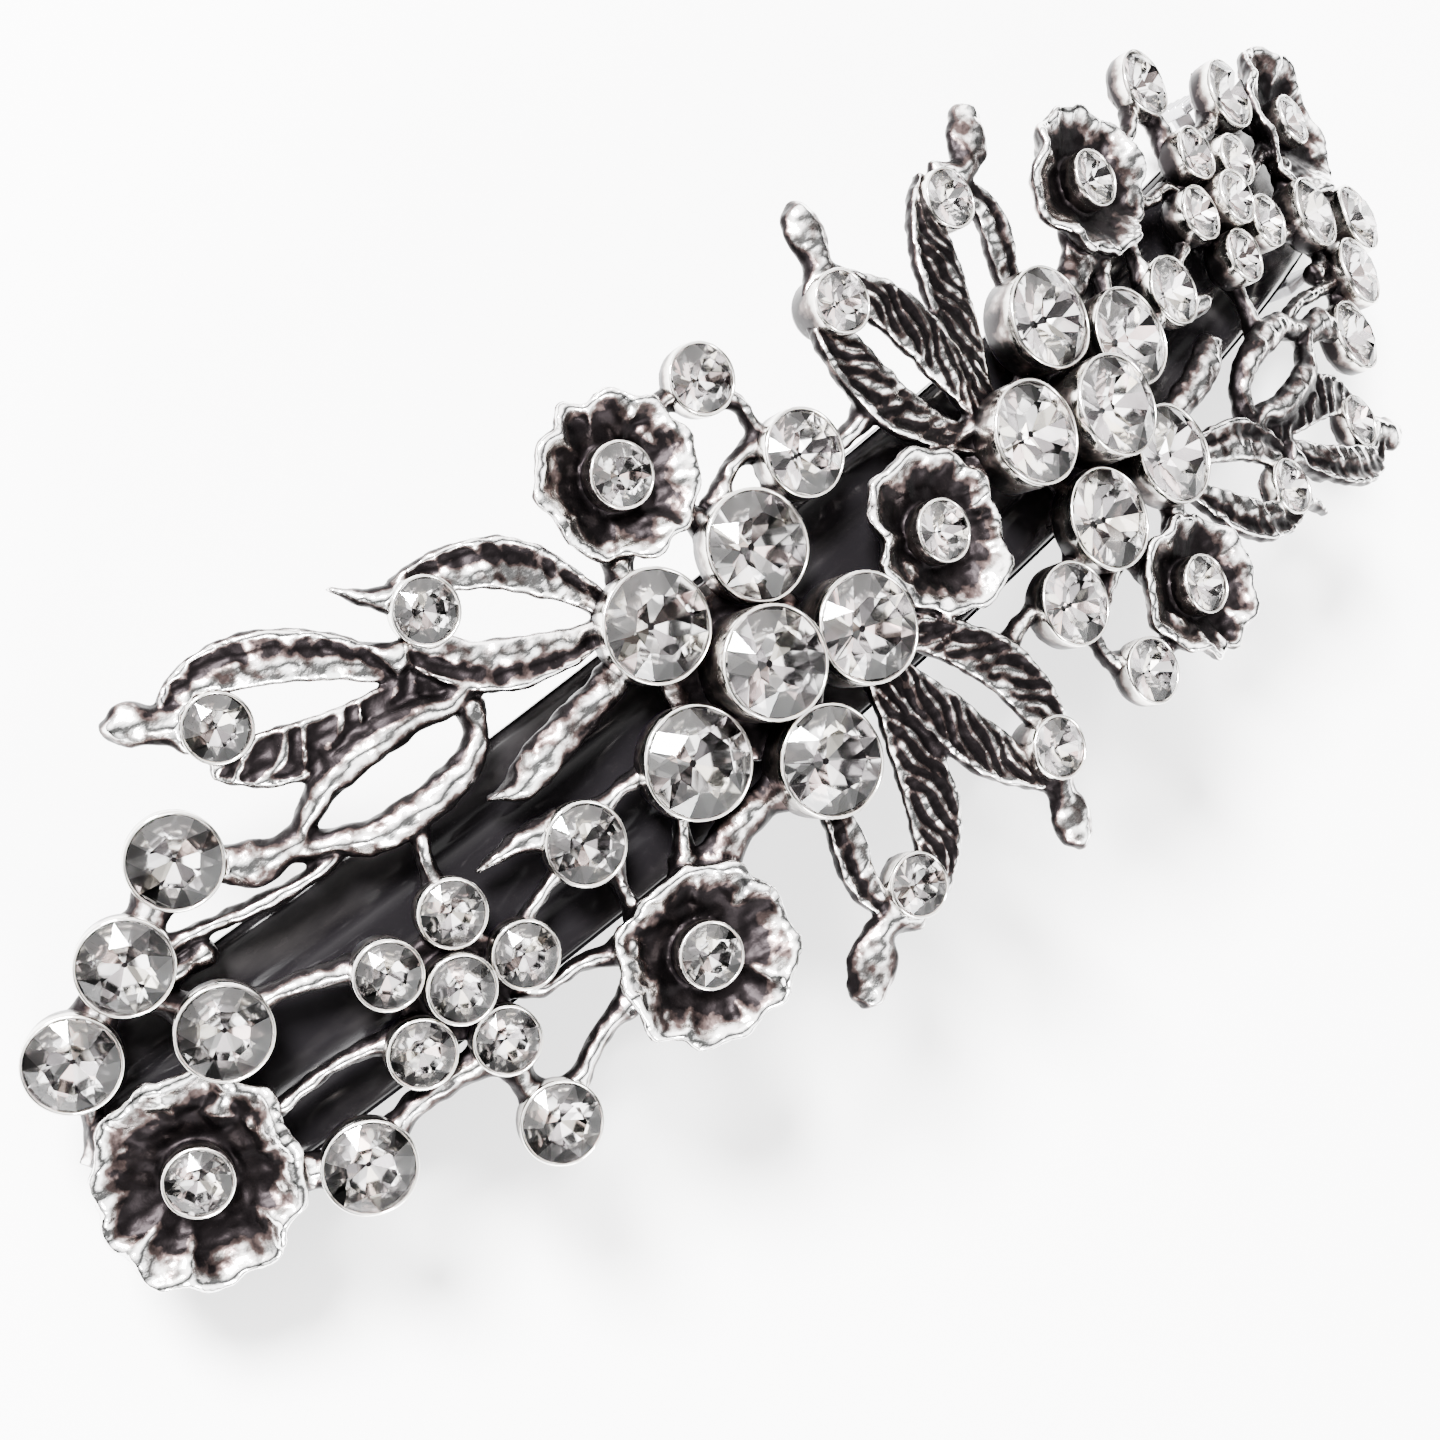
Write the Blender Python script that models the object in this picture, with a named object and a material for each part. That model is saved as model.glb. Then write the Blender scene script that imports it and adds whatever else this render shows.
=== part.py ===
"""Openwork rhinestone barrette.

One arched casting of flowers, looped leaves, twigs and stone cups sits on a lacquered spring clip:
an arched back plate, a hinged clasp arm, a sprung tension bow and two squeeze lugs.
Lengths in this file are millimetres and the finished meshes are metres.

The casting is laid out flat first.  u runs along the clip, v across it and h is the height over the
arch.  Turning the near half by 180 degrees about the middle flower gives the far half.
"""
import bpy
import bmesh
from math import asin, cos, pi, radians, sin, sqrt
from mathutils import Matrix, Vector

# ---- driving dimensions ------------------------------------------------------------------------
METRES = 0.001
ARCH_RADIUS = 108.8            # of the surface at h = 0
CROWN_HEIGHT = 17.5            # of that surface above the ground, at the middle

BIG_CUP = 2.6                  # outer radii of the four cup sizes
ROUND_CUP = 2.1
TWIG_CUP = 1.9
SMALL_CUP = 1.55
CUP_WALL = 0.28
STONE_GAP = 0.2                # between a stone's girdle and its cup
STONE_RISE = 0.22              # table height over the girdle, as a share of the stone's radius
STONE_TABLE = 0.6              # table radius, likewise
STONE_DEPTH = 0.5              # pavilion depth, likewise

BIG_CLUSTER = (-12.0, 0.8)     # middle stones of the two six-stone flowers
BIG_PITCH = 5.3
BIG_TURN = 54.0
BIG_LIFTS = (0.1, 0.2, 0.1, 0.7, 1.0)
SMALL_CLUSTER = (-31.2, -2.1)
SMALL_PITCH = 3.15
SMALL_TURN = 60.0
SMALL_LIFTS = (0.1, 0.4, 0.2, 0.0, 0.0)

PLATE_TOP = -3.0               # h of the back plate's upper face
PLATE_THICK = 0.8
PLATE_HALF_WIDTH = 5.0
PLATE_HALF_LENGTH = 46.5       # along the arch

PIN_X = -42.0
PIN_Z = 1.9
PIN_RADIUS = 0.55
PIN_BORE = 0.6
PIN_HALF_LENGTH = 4.9
EAR_INNER = 3.7                # y of each hinge ear's inner face
EAR_THICK = 0.8
EAR_BEHIND = 1.7               # the ears' reach in x, either side of the pin
EAR_AHEAD = 2.4
EAR_TOP = 5.6
END_WALL = ((42.6, -3.6, 0.0), (43.3, 3.6, 5.2))

ARM_RISE = 2.0
ARM_THICK = 0.8
ARM_HALF_WIDTH = 3.0
ARM_START = 0.6                # from the pin to the strip's end inside the knuckle
KNUCKLE_RADIUS = 1.4
KNUCKLE_HALF = 3.3
ARM_END = 37.0
LOOP = ((37.4, -3.4, 1.55), (42.2, 3.4, 2.45))
LOOP_WINDOW = ((38.4, -2.6, 0.0), (41.4, 2.6, 6.0))
LOOP_TONGUE = ((33.8, -2.0, 1.05), (38.0, 2.0, 1.65))
BOW_TOP = 11.4                 # z of the bow's crown
BOW_RISE = 4.8
BOW_HALF_LENGTH = 34.0
BOW_THICK = 0.4
BOW_HALF_WIDTH = 2.5

HOOK_OUTSET = 1.6              # from the bow's end to the middle of the hook beyond it
HOOK_HALF_THICK = 0.4
HOOK_REACH = 2.8               # of the ledge under the bow's end
HOOK_LEDGE_Z = (5.2, 5.8)
HOOK_HALF_WIDTH = 1.5

# Boxes of one squeeze lug, mirrored in y for the other: x from and to, y from and to, z from and to
LUG_BRIDGE = (39.5, 40.8, 1.5, 6.2, 3.7, 4.2)
LUG_LEG = (39.6, 40.9, 1.4, 1.9, 0.9, 4.1)
LUG_HOOK = (39.7, 40.8, 1.6, 2.25, 0.6, 1.1)
LUG_EAR = (38.8, 41.4, 5.8, 6.4, 2.4, 5.8)
LUG_ORIGIN = (41.0, 6.1, 4.0)

RIVET_SHANK = 0.7
RIVET_HEAD = 1.4
RIVET_HEAD_TALL = 0.6
RIVET_TOP = -1.6               # h of the shank's end, inside the casting's boss
RIVET_BORE = 1.0
RIVET_GAP = 0.3                # between the head and the plate

# ---- layout of the near half: name, u, v, rim height, outer radius -----------------------------------
SINGLE_CUPS = (
    ("shoulder_1", -37.5, 9.2, -0.5, ROUND_CUP),
    ("shoulder_2", -41.6, 6.9, -0.1, ROUND_CUP),
    ("shoulder_3", -45.6, 4.9, 0.0, ROUND_CUP),
    ("inner", -40.0, 2.3, 0.0, ROUND_CUP),
    ("corner", -38.6, -6.1, -0.3, ROUND_CUP),
    ("edge", -31.0, -9.8, -0.6, TWIG_CUP),
    ("twig", -23.1, -0.7, -0.6, TWIG_CUP),
    ("vine_1", -6.4, 12.4, -0.3, 1.7),
    ("vine_2", -4.2, 7.0, 0.0, ROUND_CUP),
    ("leaf_1", -32.9, 12.6, -0.7, SMALL_CUP),
    ("leaf_2", -23.0, 11.5, -0.5, SMALL_CUP),
    ("leaf_3", -11.4, -11.9, -0.2, SMALL_CUP),
    ("leaf_4", -1.6, -11.4, 0.6, SMALL_CUP),
)

# u, v, radius, turn in degrees; the first is the middle flower and has no twin
FLOWERS = (
    (0.0, 0.0, 3.8, 20.0),
    (-44.5, -2.2, 4.4, 10.0),
    (-21.5, -8.0, 4.0, 35.0),
    (-12.4, 11.2, 3.7, 0.0),
)

# Stems and leaf blades of the near half, as (u, v, h, width) along their middles.
STRANDS = (
    # first leaf pair: upper blade, lower blade, tip
    ((-33.6, 14.0, -1.1, 1.0), (-31.0, 14.4, -0.9, 1.8), (-28.4, 13.2, -0.9, 1.9), (-24.2, 10.7, -1.2, 1.2)),
    ((-33.2, 11.2, -1.2, 1.2), (-31.2, 10.1, -1.0, 2.0), (-28.4, 9.6, -1.1, 1.6), (-22.9, 8.9, -1.35, 1.2)),
    ((-33.6, 13.2, -1.2, 1.2), (-35.2, 14.8, -1.2, 1.4), (-36.6, 15.2, -1.3, 0.8)),
    # second leaf pair
    ((-22.4, 12.6, -1.1, 1.0), (-19.8, 11.7, -0.9, 1.8), (-17.9, 10.0, -0.9, 1.7), (-16.2, 7.4, -1.3, 1.1)),
    ((-24.2, 10.4, -1.2, 1.1), (-22.8, 8.6, -1.0, 1.7), (-20.3, 6.9, -1.0, 1.7), (-16.6, 6.3, -1.3, 1.1)),
    ((-23.6, 12.2, -1.3, 1.0), (-25.8, 14.6, -1.5, 0.5)),
    # third leaf pair
    ((-12.4, -6.0, -1.0, 1.0), (-13.0, -8.6, -0.8, 1.6), (-13.6, -10.4, -0.9, 1.2),
     (-12.6, -12.2, -1.0, 1.0)),
    ((-7.2, -2.8, -0.9, 1.2), (-7.9, -7.0, -0.7, 2.2), (-9.2, -10.8, -0.7, 2.2), (-10.6, -13.0, -1.0, 1.0)),
    ((-12.0, -12.4, -1.0, 1.4), (-14.2, -13.1, -1.2, 1.1), (-15.4, -14.0, -1.2, 2.0),
     (-16.4, -14.7, -1.3, 0.9)),
    # fourth leaf pair
    ((-6.0, -2.4, -0.9, 1.1), (-5.6, -6.6, -0.6, 2.0), (-4.4, -9.9, -0.5, 2.0), (-2.4, -11.9, -0.75, 1.0)),
    ((-4.4, -2.2, -1.0, 1.1), (-1.9, -5.6, -0.7, 2.1), (-0.8, -8.6, -0.5, 2.2), (-0.6, -11.4, -0.6, 1.0)),
    ((-1.8, -12.2, -0.7, 1.3), (-2.3, -13.8, -0.8, 1.2), (-2.6, -15.2, -0.8, 1.8), (-2.8, -16.2, -0.9, 0.8)),
    # slit pod: upper and lower lips
    ((-33.6, 6.6, -1.4, 0.9), (-30.4, 7.9, -0.9, 1.2), (-26.6, 8.0, -0.9, 1.2), (-22.6, 7.7, -1.25, 1.0)),
    ((-33.0, 6.0, -1.4, 0.9), (-29.6, 5.0, -0.9, 1.3), (-25.6, 5.2, -0.9, 1.3), (-23.4, 7.8, -1.3, 0.9)),
    # pod to the first shoulder cup, by a small leaf
    ((-32.6, 6.6, -1.3, 0.9), (-34.8, 7.1, -1.1, 1.5), (-36.8, 8.8, -1.3, 0.9)),
    # vine from the second shoulder cup, and the short spur below it
    ((-40.6, 6.4, -1.5, 1.0), (-36.2, 5.7, -1.3, 0.9), (-32.2, 5.6, -1.3, 0.8)),
    ((-40.6, 5.0, -1.6, 0.9), (-40.2, 3.2, -1.6, 0.9)),
    # shoulder cups to each other, the inner cup and the end flower
    ((-38.6, 8.6, -1.5, 1.2), (-40.6, 7.4, -1.5, 1.2)),
    ((-42.6, 6.4, -1.5, 1.3), (-44.6, 5.4, -1.5, 1.3)),
    ((-45.8, 3.8, -1.5, 1.1), (-46.2, 1.2, -1.4, 1.1)),
    ((-42.0, 5.6, -1.6, 1.0), (-40.8, 3.6, -1.6, 1.0)),
    ((-40.6, 1.0, -1.6, 1.0), (-42.0, -0.4, -1.5, 1.0)),
    ((-42.2, -4.4, -1.5, 1.2), (-39.6, -5.8, -1.5, 1.2)),
    # bars between the end cups and the small cluster
    ((-38.8, 2.2, -1.5, 0.9), (-34.0, 0.6, -1.4, 0.9)),
    ((-41.4, -2.0, -1.5, 0.9), (-38.2, -1.9, -1.5, 0.8), (-34.6, -2.8, -1.4, 0.9)),
    ((-37.4, -5.8, -1.5, 1.1), (-31.6, -5.6, -1.4, 1.1)),
    # small cluster to its neighbours
    ((-29.6, 1.2, -1.4, 0.9), (-28.6, 4.4, -1.3, 0.9), (-28.4, 5.2, -1.2, 0.9)),
    ((-31.0, -6.2, -1.5, 1.3), (-31.0, -8.8, -1.5, 1.3)),
    ((-28.9, -2.2, -1.5, 0.9), (-25.6, -1.3, -1.5, 0.8), (-23.8, -0.8, -1.5, 0.9)),
    ((-28.6, -3.6, -1.5, 0.9), (-26.4, -4.9, -1.5, 0.9), (-24.2, -5.9, -1.5, 0.9)),
    ((-30.0, -9.2, -1.5, 1.1), (-27.6, -8.2, -1.5, 1.0), (-24.4, -7.6, -1.5, 1.0)),
    # wavy leaf and drop beside the twig cup
    ((-17.2, 4.2, -1.3, 0.9), (-20.4, 3.8, -1.0, 1.6), (-23.2, 3.2, -1.2, 1.5), (-25.2, 3.3, -1.4, 0.5)),
    ((-23.4, 0.2, -1.4, 1.0), (-25.4, 1.0, -1.3, 1.0), (-27.4, 1.2, -1.5, 0.5)),
    # twig cup and big cluster to the second flower
    ((-22.4, -0.4, -1.5, 1.0), (-17.6, -0.2, -1.4, 1.0)),
    ((-22.8, -1.6, -1.6, 0.9), (-22.8, -4.8, -1.5, 0.9)),
    ((-18.0, -1.6, -1.5, 0.9), (-19.8, -4.8, -1.5, 0.9)),
    ((-13.2, -4.6, -1.4, 1.5), (-16.6, -4.7, -1.5, 1.6), (-19.4, -5.8, -1.5, 1.4)),
    # third flower to the big cluster and along the vine to the middle
    ((-14.2, 8.8, -1.4, 1.2), (-15.0, 6.0, -1.4, 1.2)),
    ((-10.6, 8.9, -1.4, 1.2), (-9.4, 6.4, -1.4, 1.2)),
    ((-10.0, 11.8, -1.4, 1.2), (-7.0, 12.3, -1.4, 1.2)),
    ((-6.0, 11.8, -1.5, 1.0), (-5.0, 10.0, -1.4, 0.9), (-4.4, 7.8, -1.5, 1.0)),
    ((-5.2, 6.6, -1.5, 1.0), (-8.0, 5.6, -1.4, 1.0)),
    # middle flower to the big cluster, the fourth leaf and the far vine cup
    ((-2.0, -0.6, -1.5, 1.4), (-6.2, -0.8, -1.3, 1.4)),
    ((-1.6, -2.4, -1.5, 1.1), (-4.4, -2.9, -1.2, 1.1), (-7.0, -2.4, -1.2, 1.2)),
    ((3.6, -6.6, -1.5, 1.0), (0.8, -6.3, -1.2, 1.0), (-1.4, -6.4, -1.0, 1.0)),
)
STRAND_THICK = 1.2
FLOWER_BEZEL = -0.1            # rim height of a flower's own cup

FLOWER_COUNT = 24              # points round a flower's outline
PETALS = 6
CLUSTER_RING = 5               # cups round a cluster's middle cup
BORE_SIDES = 16
BOLT_SIDES = 12

# Each cluster stands on a round web, with a boss under it: radius, lowest h, highest h.
BIG_WEB = (3.7, -1.75, -1.15)
BIG_BOSS = (2.0, PLATE_TOP + 0.3, -0.5)
SMALL_WEB = (2.2, -1.7, -1.05)
SMALL_BOSS = (1.2, PLATE_TOP + 0.3, -0.8)


# ---- helpers -------------------------------------------------------------------------------------
def clear_scene():
    for item in list(bpy.data.objects):
        bpy.data.objects.remove(item, do_unlink=True)


def material(name, colour, metallic, roughness):
    mat = bpy.data.materials.new(name)
    mat.use_nodes = True
    shader = mat.node_tree.nodes["Principled BSDF"]
    shader.inputs["Base Color"].default_value = (*colour, 1.0)
    shader.inputs["Metallic"].default_value = metallic
    shader.inputs["Roughness"].default_value = roughness
    mat.diffuse_color = (*colour, 1.0)
    return mat


def ring(centre, h, radius, count, turn=0.0, lobes=0, wave=0.0, ripple=0.0):
    """Points of a circle, or of a lobed outline whose rim also rises and falls by ripple."""
    points = []
    for k in range(count):
        angle = 2 * pi * k / count
        swell = cos(lobes * angle)
        r = radius * (1 + wave * swell)
        points.append(Vector((centre[0] + r * cos(angle + turn),
                              centre[1] + r * sin(angle + turn),
                              h + ripple * swell)))
    return points


def loft(rings):
    """Closed solid through rings of equal counts, with flat ends."""
    bm = bmesh.new()
    rows = [[bm.verts.new(p) for p in points] for points in rings]
    count = len(rows[0])
    bm.faces.new(list(reversed(rows[0])))
    bm.faces.new(rows[-1])
    for low, high in zip(rows, rows[1:]):
        for k in range(count):
            n = (k + 1) % count
            bm.faces.new((low[k], low[n], high[n], high[k]))
    return bm


def box(low, high):
    xs, ys, zs = zip(low, high)
    corners = [(xs[0], ys[0]), (xs[1], ys[0]), (xs[1], ys[1]), (xs[0], ys[1])]
    return loft([[Vector((x, y, z)) for x, y in corners] for z in zs])


def cylinder(base, axis, radius, length, count):
    """Prism along axis from the base point."""
    spin = Vector(axis).to_track_quat("Z", "Y").to_matrix()
    rows = []
    for step in (0.0, length):
        circle = ring((0.0, 0.0), step, radius, count)
        rows.append([Vector(base) + spin @ p for p in circle])
    return loft(rows)


def strand(stations, thick):
    """Stem or blade with a lozenge section through (u, v, h, width) stations."""
    rings = []
    last = len(stations) - 1
    for k, (u, v, h, width) in enumerate(stations):
        before = stations[max(k - 1, 0)]
        after = stations[min(k + 1, last)]
        along = Vector((after[0] - before[0], after[1] - before[1], 0.0)).normalized()
        side = Vector((-along.y, along.x, 0.0)) * width / 2
        up = Vector((0.0, 0.0, thick / 2))
        middle = Vector((u, v, h))
        rings.append([middle + side, middle + up, middle - side, middle - up])
    return loft(rings)


def add_object(name, bm):
    mesh = bpy.data.meshes.new(name)
    bm.to_mesh(mesh)
    bm.free()
    item = bpy.data.objects.new(name, mesh)
    bpy.context.scene.collection.objects.link(item)
    return item


def combine(target, tools, operation):
    """Applies one Boolean of several closed tool solids to target, and removes the tools."""
    group = bpy.data.collections.new("tools")
    bpy.context.scene.collection.children.link(group)
    for tool in tools:
        bpy.context.scene.collection.objects.unlink(tool)
        group.objects.link(tool)
    step = target.modifiers.new("combine", "BOOLEAN")
    step.operation = operation
    step.operand_type = "COLLECTION"
    step.collection = group
    step.solver = "EXACT"
    bpy.context.view_layer.update()
    evaluated = target.evaluated_get(bpy.context.evaluated_depsgraph_get())
    result = bpy.data.meshes.new_from_object(evaluated)
    target.modifiers.clear()
    old = target.data
    target.data = result
    bpy.data.meshes.remove(old)
    for tool in tools:
        bpy.data.objects.remove(tool, do_unlink=True)
    bpy.data.collections.remove(group)


def bend(u, v, h):
    """Flat layout point to its place on the arch, in millimetres."""
    angle = u / ARCH_RADIUS
    reach = ARCH_RADIUS + h
    return Vector((reach * sin(angle), v, reach * cos(angle) - ARCH_RADIUS + CROWN_HEIGHT))


def finish(item, mat, bent=False, smooth_angle=35.0):
    """Triangulates, bends if wanted, turns millimetres into metres and shades the round parts."""
    bm = bmesh.new()
    bm.from_mesh(item.data)
    bmesh.ops.triangulate(bm, faces=bm.faces[:])
    for vertex in bm.verts:
        place = bend(*vertex.co) if bent else vertex.co
        vertex.co = place * METRES
    bm.to_mesh(item.data)
    bm.free()
    item.data.materials.clear()
    item.data.materials.append(mat)
    item.data.shade_smooth()
    item.data.set_sharp_from_angle(angle=radians(smooth_angle))


def set_origin(item, point):
    """Moves the object's origin to a point in millimetres and leaves its shape in place."""
    place = Vector(point) * METRES
    item.data.transform(Matrix.Translation(-place))
    item.location = place


# ---- casting -------------------------------------------------------------------------------------
def cluster(middle, pitch, turn, lifts, top, radius, name):
    """A middle cup and five round it, as (name, u, v, rim height, radius)."""
    cups = [(name + "_0", middle[0], middle[1], top, radius)]
    for k, lift in enumerate(lifts):
        angle = radians(turn) + 2 * pi * k / CLUSTER_RING
        cups.append((f"{name}_{k + 1}", middle[0] + pitch * cos(angle),
                     middle[1] + pitch * sin(angle), lift, radius))
    return cups


def half_cups():
    cups = list(SINGLE_CUPS)
    cups += cluster(BIG_CLUSTER, BIG_PITCH, BIG_TURN, BIG_LIFTS, 1.5, BIG_CUP, "big")
    cups += cluster(SMALL_CLUSTER, SMALL_PITCH, SMALL_TURN, SMALL_LIFTS, 0.6, SMALL_CUP, "small")
    return cups


def cup_sides(radius):
    return 12 if radius > 2.4 else 10 if radius > 1.6 else 8


def socket_depth(radius):
    return 0.5 * radius + 0.25


def cup(u, v, rim, radius):
    """Round bezel before its socket is cut; its foot is a little narrower than its rim."""
    count = cup_sides(radius)
    foot = min(rim - socket_depth(radius) - 0.4, -1.9)
    return loft([ring((u, v), foot, 0.86 * radius, count), ring((u, v), rim, radius, count)])


def socket(u, v, rim, radius):
    """Cutter for the blind seat of one stone."""
    count = cup_sides(radius)
    inner = radius - CUP_WALL
    return loft([ring((u, v), rim - socket_depth(radius), 0.8 * inner, count),
                 ring((u, v), rim, inner, count), ring((u, v), rim + 1.5, inner, count)])


def flower(u, v, radius, turn):
    """Shallow wavy bowl of six petals."""
    spin = radians(turn)
    return loft([ring((u, v), -2.1, 0.5 * radius, FLOWER_COUNT, spin),
                 ring((u, v), -0.6, radius, FLOWER_COUNT, spin, PETALS, 0.07, 0.2),
                 ring((u, v), -0.3, 0.96 * radius, FLOWER_COUNT, spin, PETALS, 0.07, 0.2),
                 ring((u, v), -1.3, 0.52 * radius, FLOWER_COUNT, spin)])


def half_bezels():
    """Every cup of the near half, with the flowers' own: u, v, rim height, radius."""
    bezels = [place for _, *place in half_cups()]
    return bezels + [[u, v, FLOWER_BEZEL, SMALL_CUP] for u, v, _, _ in FLOWERS[1:]]


def half_solids():
    solids = [cup(*place) for place in half_bezels()]
    solids += [flower(*place) for place in FLOWERS[1:]]
    solids += [strand(stations, STRAND_THICK) for stations in STRANDS]
    for middle, discs in ((BIG_CLUSTER, (BIG_WEB, BIG_BOSS)), (SMALL_CLUSTER, (SMALL_WEB, SMALL_BOSS))):
        for radius, low, high in discs:
            solids.append(loft([ring(middle, low, radius, 10), ring(middle, high, radius, 10)]))
    return solids


def turned(bm):
    """The same solid turned by 180 degrees about the middle flower."""
    copy = bm.copy()
    bmesh.ops.rotate(copy, verts=copy.verts, matrix=Matrix.Rotation(pi, 3, "Z"))
    return copy


def make_casting(mat):
    solids = half_solids()
    solids += [turned(bm) for bm in solids]
    solids.append(cup(0.0, 0.0, FLOWER_BEZEL, SMALL_CUP))
    casting = add_object("casting", flower(*FLOWERS[0]))
    combine(casting, [add_object("tool", bm) for bm in solids], "UNION")
    cuts = [socket(*place) for place in half_bezels()]
    cuts.append(cylinder((*BIG_CLUSTER, BIG_BOSS[1] - 0.2), (0, 0, 1), RIVET_BORE, 1.6, BOLT_SIDES))
    cuts += [turned(bm) for bm in cuts]
    cuts.append(socket(0.0, 0.0, FLOWER_BEZEL, SMALL_CUP))
    combine(casting, [add_object("cut", bm) for bm in cuts], "DIFFERENCE")
    finish(casting, mat, bent=True)
    return casting


# ---- stones --------------------------------------------------------------------------------------
def make_stone(name, u, v, rim, radius, mat):
    """Round brilliant seated in its cup, with its origin at the girdle's middle."""
    girdle = radius - CUP_WALL - STONE_GAP
    count = 10 if radius > 2.4 else 8
    bm = loft([ring((0.0, 0.0), -STONE_DEPTH * girdle, 0.2 * girdle, count),
               ring((0.0, 0.0), 0.0, girdle, count),
               ring((0.0, 0.0), STONE_RISE * girdle, STONE_TABLE * girdle, count)])
    stone = add_object(name, bm)
    finish(stone, mat, smooth_angle=5.0)
    stone.location = bend(u, v, rim) * METRES
    stone.rotation_euler = (0.0, u / ARCH_RADIUS, 0.0)
    return stone


def make_stones(mats):
    for name, u, v, rim, radius in half_cups():
        mat = mats["big"] if radius > 2.4 else mats["round"] if radius > 1.6 else mats["small"]
        make_stone(f"stone_{name}_a", u, v, rim, radius, mat)
        make_stone(f"stone_{name}_b", -u, -v, rim, radius, mat)


# ---- clip mechanism ------------------------------------------------------------------------------
def arc_strip(radius, centre_z, thick, half_width, x_from, x_to, steps):
    """Strip with its upper face on a circle about the Y axis, between two x places."""
    rings = []
    for k in range(steps + 1):
        x = x_from + (x_to - x_from) * k / steps
        angle = asin(x / radius)
        outer = Vector((radius * sin(angle), 0.0, centre_z + radius * cos(angle)))
        inner = Vector(((radius - thick) * sin(angle), 0.0, centre_z + (radius - thick) * cos(angle)))
        side = Vector((0.0, half_width, 0.0))
        rings.append([outer - side, inner - side, inner + side, outer + side])
    return loft(rings)


def plate_underside(x):
    radius = ARCH_RADIUS + PLATE_TOP - PLATE_THICK
    return CROWN_HEIGHT - ARCH_RADIUS + sqrt(radius * radius - x * x)


def make_plate(mat):
    """Arched back plate with hinge ears, an end wall, two bow hooks and rivet holes."""
    top = ARCH_RADIUS + PLATE_TOP
    reach = top * sin(PLATE_HALF_LENGTH / ARCH_RADIUS)
    plate = add_object("back_plate", arc_strip(top, CROWN_HEIGHT - ARCH_RADIUS, PLATE_THICK,
                                               PLATE_HALF_WIDTH, -reach, reach, 26))
    tools = []
    for side in (1, -1):
        y_low, y_high = sorted((side * EAR_INNER, side * (EAR_INNER + EAR_THICK)))
        tools.append(box((PIN_X - EAR_BEHIND, y_low, 0.0), (PIN_X + EAR_AHEAD, y_high, EAR_TOP)))
        middle = side * (BOW_HALF_LENGTH + HOOK_OUTSET)
        post_x = (middle - HOOK_HALF_THICK, middle + HOOK_HALF_THICK)
        ledge_x = sorted((middle - side * HOOK_REACH, middle + side * (HOOK_HALF_THICK - 0.1)))
        low, high = HOOK_LEDGE_Z
        tools.append(box((post_x[0], -HOOK_HALF_WIDTH, low + 0.1),
                         (post_x[1], HOOK_HALF_WIDTH, plate_underside(middle) + 0.3)))
        tools.append(box((ledge_x[0], 0.1 - HOOK_HALF_WIDTH, low), (ledge_x[1], HOOK_HALF_WIDTH - 0.1, high)))
    tools.append(box(*END_WALL))
    combine(plate, [add_object("tool", bm) for bm in tools], "UNION")
    cuts = [pin_bore()]
    for side in (1, -1):
        u, v = side * BIG_CLUSTER[0], side * BIG_CLUSTER[1]
        start = bend(u, v, PLATE_TOP - PLATE_THICK - 1.0)
        cuts.append(cylinder(start, bend(u, v, 0.0) - start, RIVET_BORE, 3.0, BOLT_SIDES))
    combine(plate, [add_object("cut", bm) for bm in cuts], "DIFFERENCE")
    finish(plate, mat)
    return plate


def pin_bore():
    """Cutter for the hinge pin's hole, long enough to pass both ears."""
    reach = PIN_HALF_LENGTH + 1.0
    return cylinder((PIN_X, -reach, PIN_Z), (0, 1, 0), PIN_BORE, 2 * reach, BORE_SIDES)


def make_rivet(name, side, mat):
    """Rivet through the back plate into the casting's boss, head downwards."""
    u, v = side * BIG_CLUSTER[0], side * BIG_CLUSTER[1]
    under = PLATE_TOP - PLATE_THICK - RIVET_GAP
    profile = ((0.7 * RIVET_HEAD, under - RIVET_HEAD_TALL), (RIVET_HEAD, under - RIVET_HEAD_TALL / 2),
               (RIVET_HEAD, under), (RIVET_SHANK, under), (RIVET_SHANK, RIVET_TOP))
    rivet = add_object(name, loft([ring((0.0, 0.0), h, radius, BOLT_SIDES) for radius, h in profile]))
    finish(rivet, mat)
    rivet.location = bend(u, v, 0.0) * METRES
    rivet.rotation_euler = (0.0, u / ARCH_RADIUS, 0.0)
    return rivet


def make_pin(mat):
    rod = cylinder((PIN_X, -PIN_HALF_LENGTH, PIN_Z), (0, 1, 0), PIN_RADIUS, 2 * PIN_HALF_LENGTH, BORE_SIDES)
    pin = add_object("hinge_pin", rod)
    finish(pin, mat)
    set_origin(pin, (PIN_X, 0.0, PIN_Z))
    return pin


def make_arm(mat):
    """Clasp arm: gently arched strip with a knuckle round the pin."""
    half = -PIN_X
    radius = (half * half + ARM_RISE * ARM_RISE) / (2 * ARM_RISE)
    top = PIN_Z + ARM_RISE + ARM_THICK / 2
    strip = arc_strip(radius, top - radius, ARM_THICK, ARM_HALF_WIDTH, PIN_X + ARM_START, ARM_END, 16)
    arm = add_object("clasp_arm", strip)
    barrel = cylinder((PIN_X, -KNUCKLE_HALF, PIN_Z), (0, 1, 0), KNUCKLE_RADIUS, 2 * KNUCKLE_HALF, BORE_SIDES)
    combine(arm, [add_object("tool", barrel)], "UNION")
    combine(arm, [add_object("cut", pin_bore())], "DIFFERENCE")
    finish(arm, mat)
    set_origin(arm, (PIN_X, 0.0, PIN_Z))
    return arm


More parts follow.
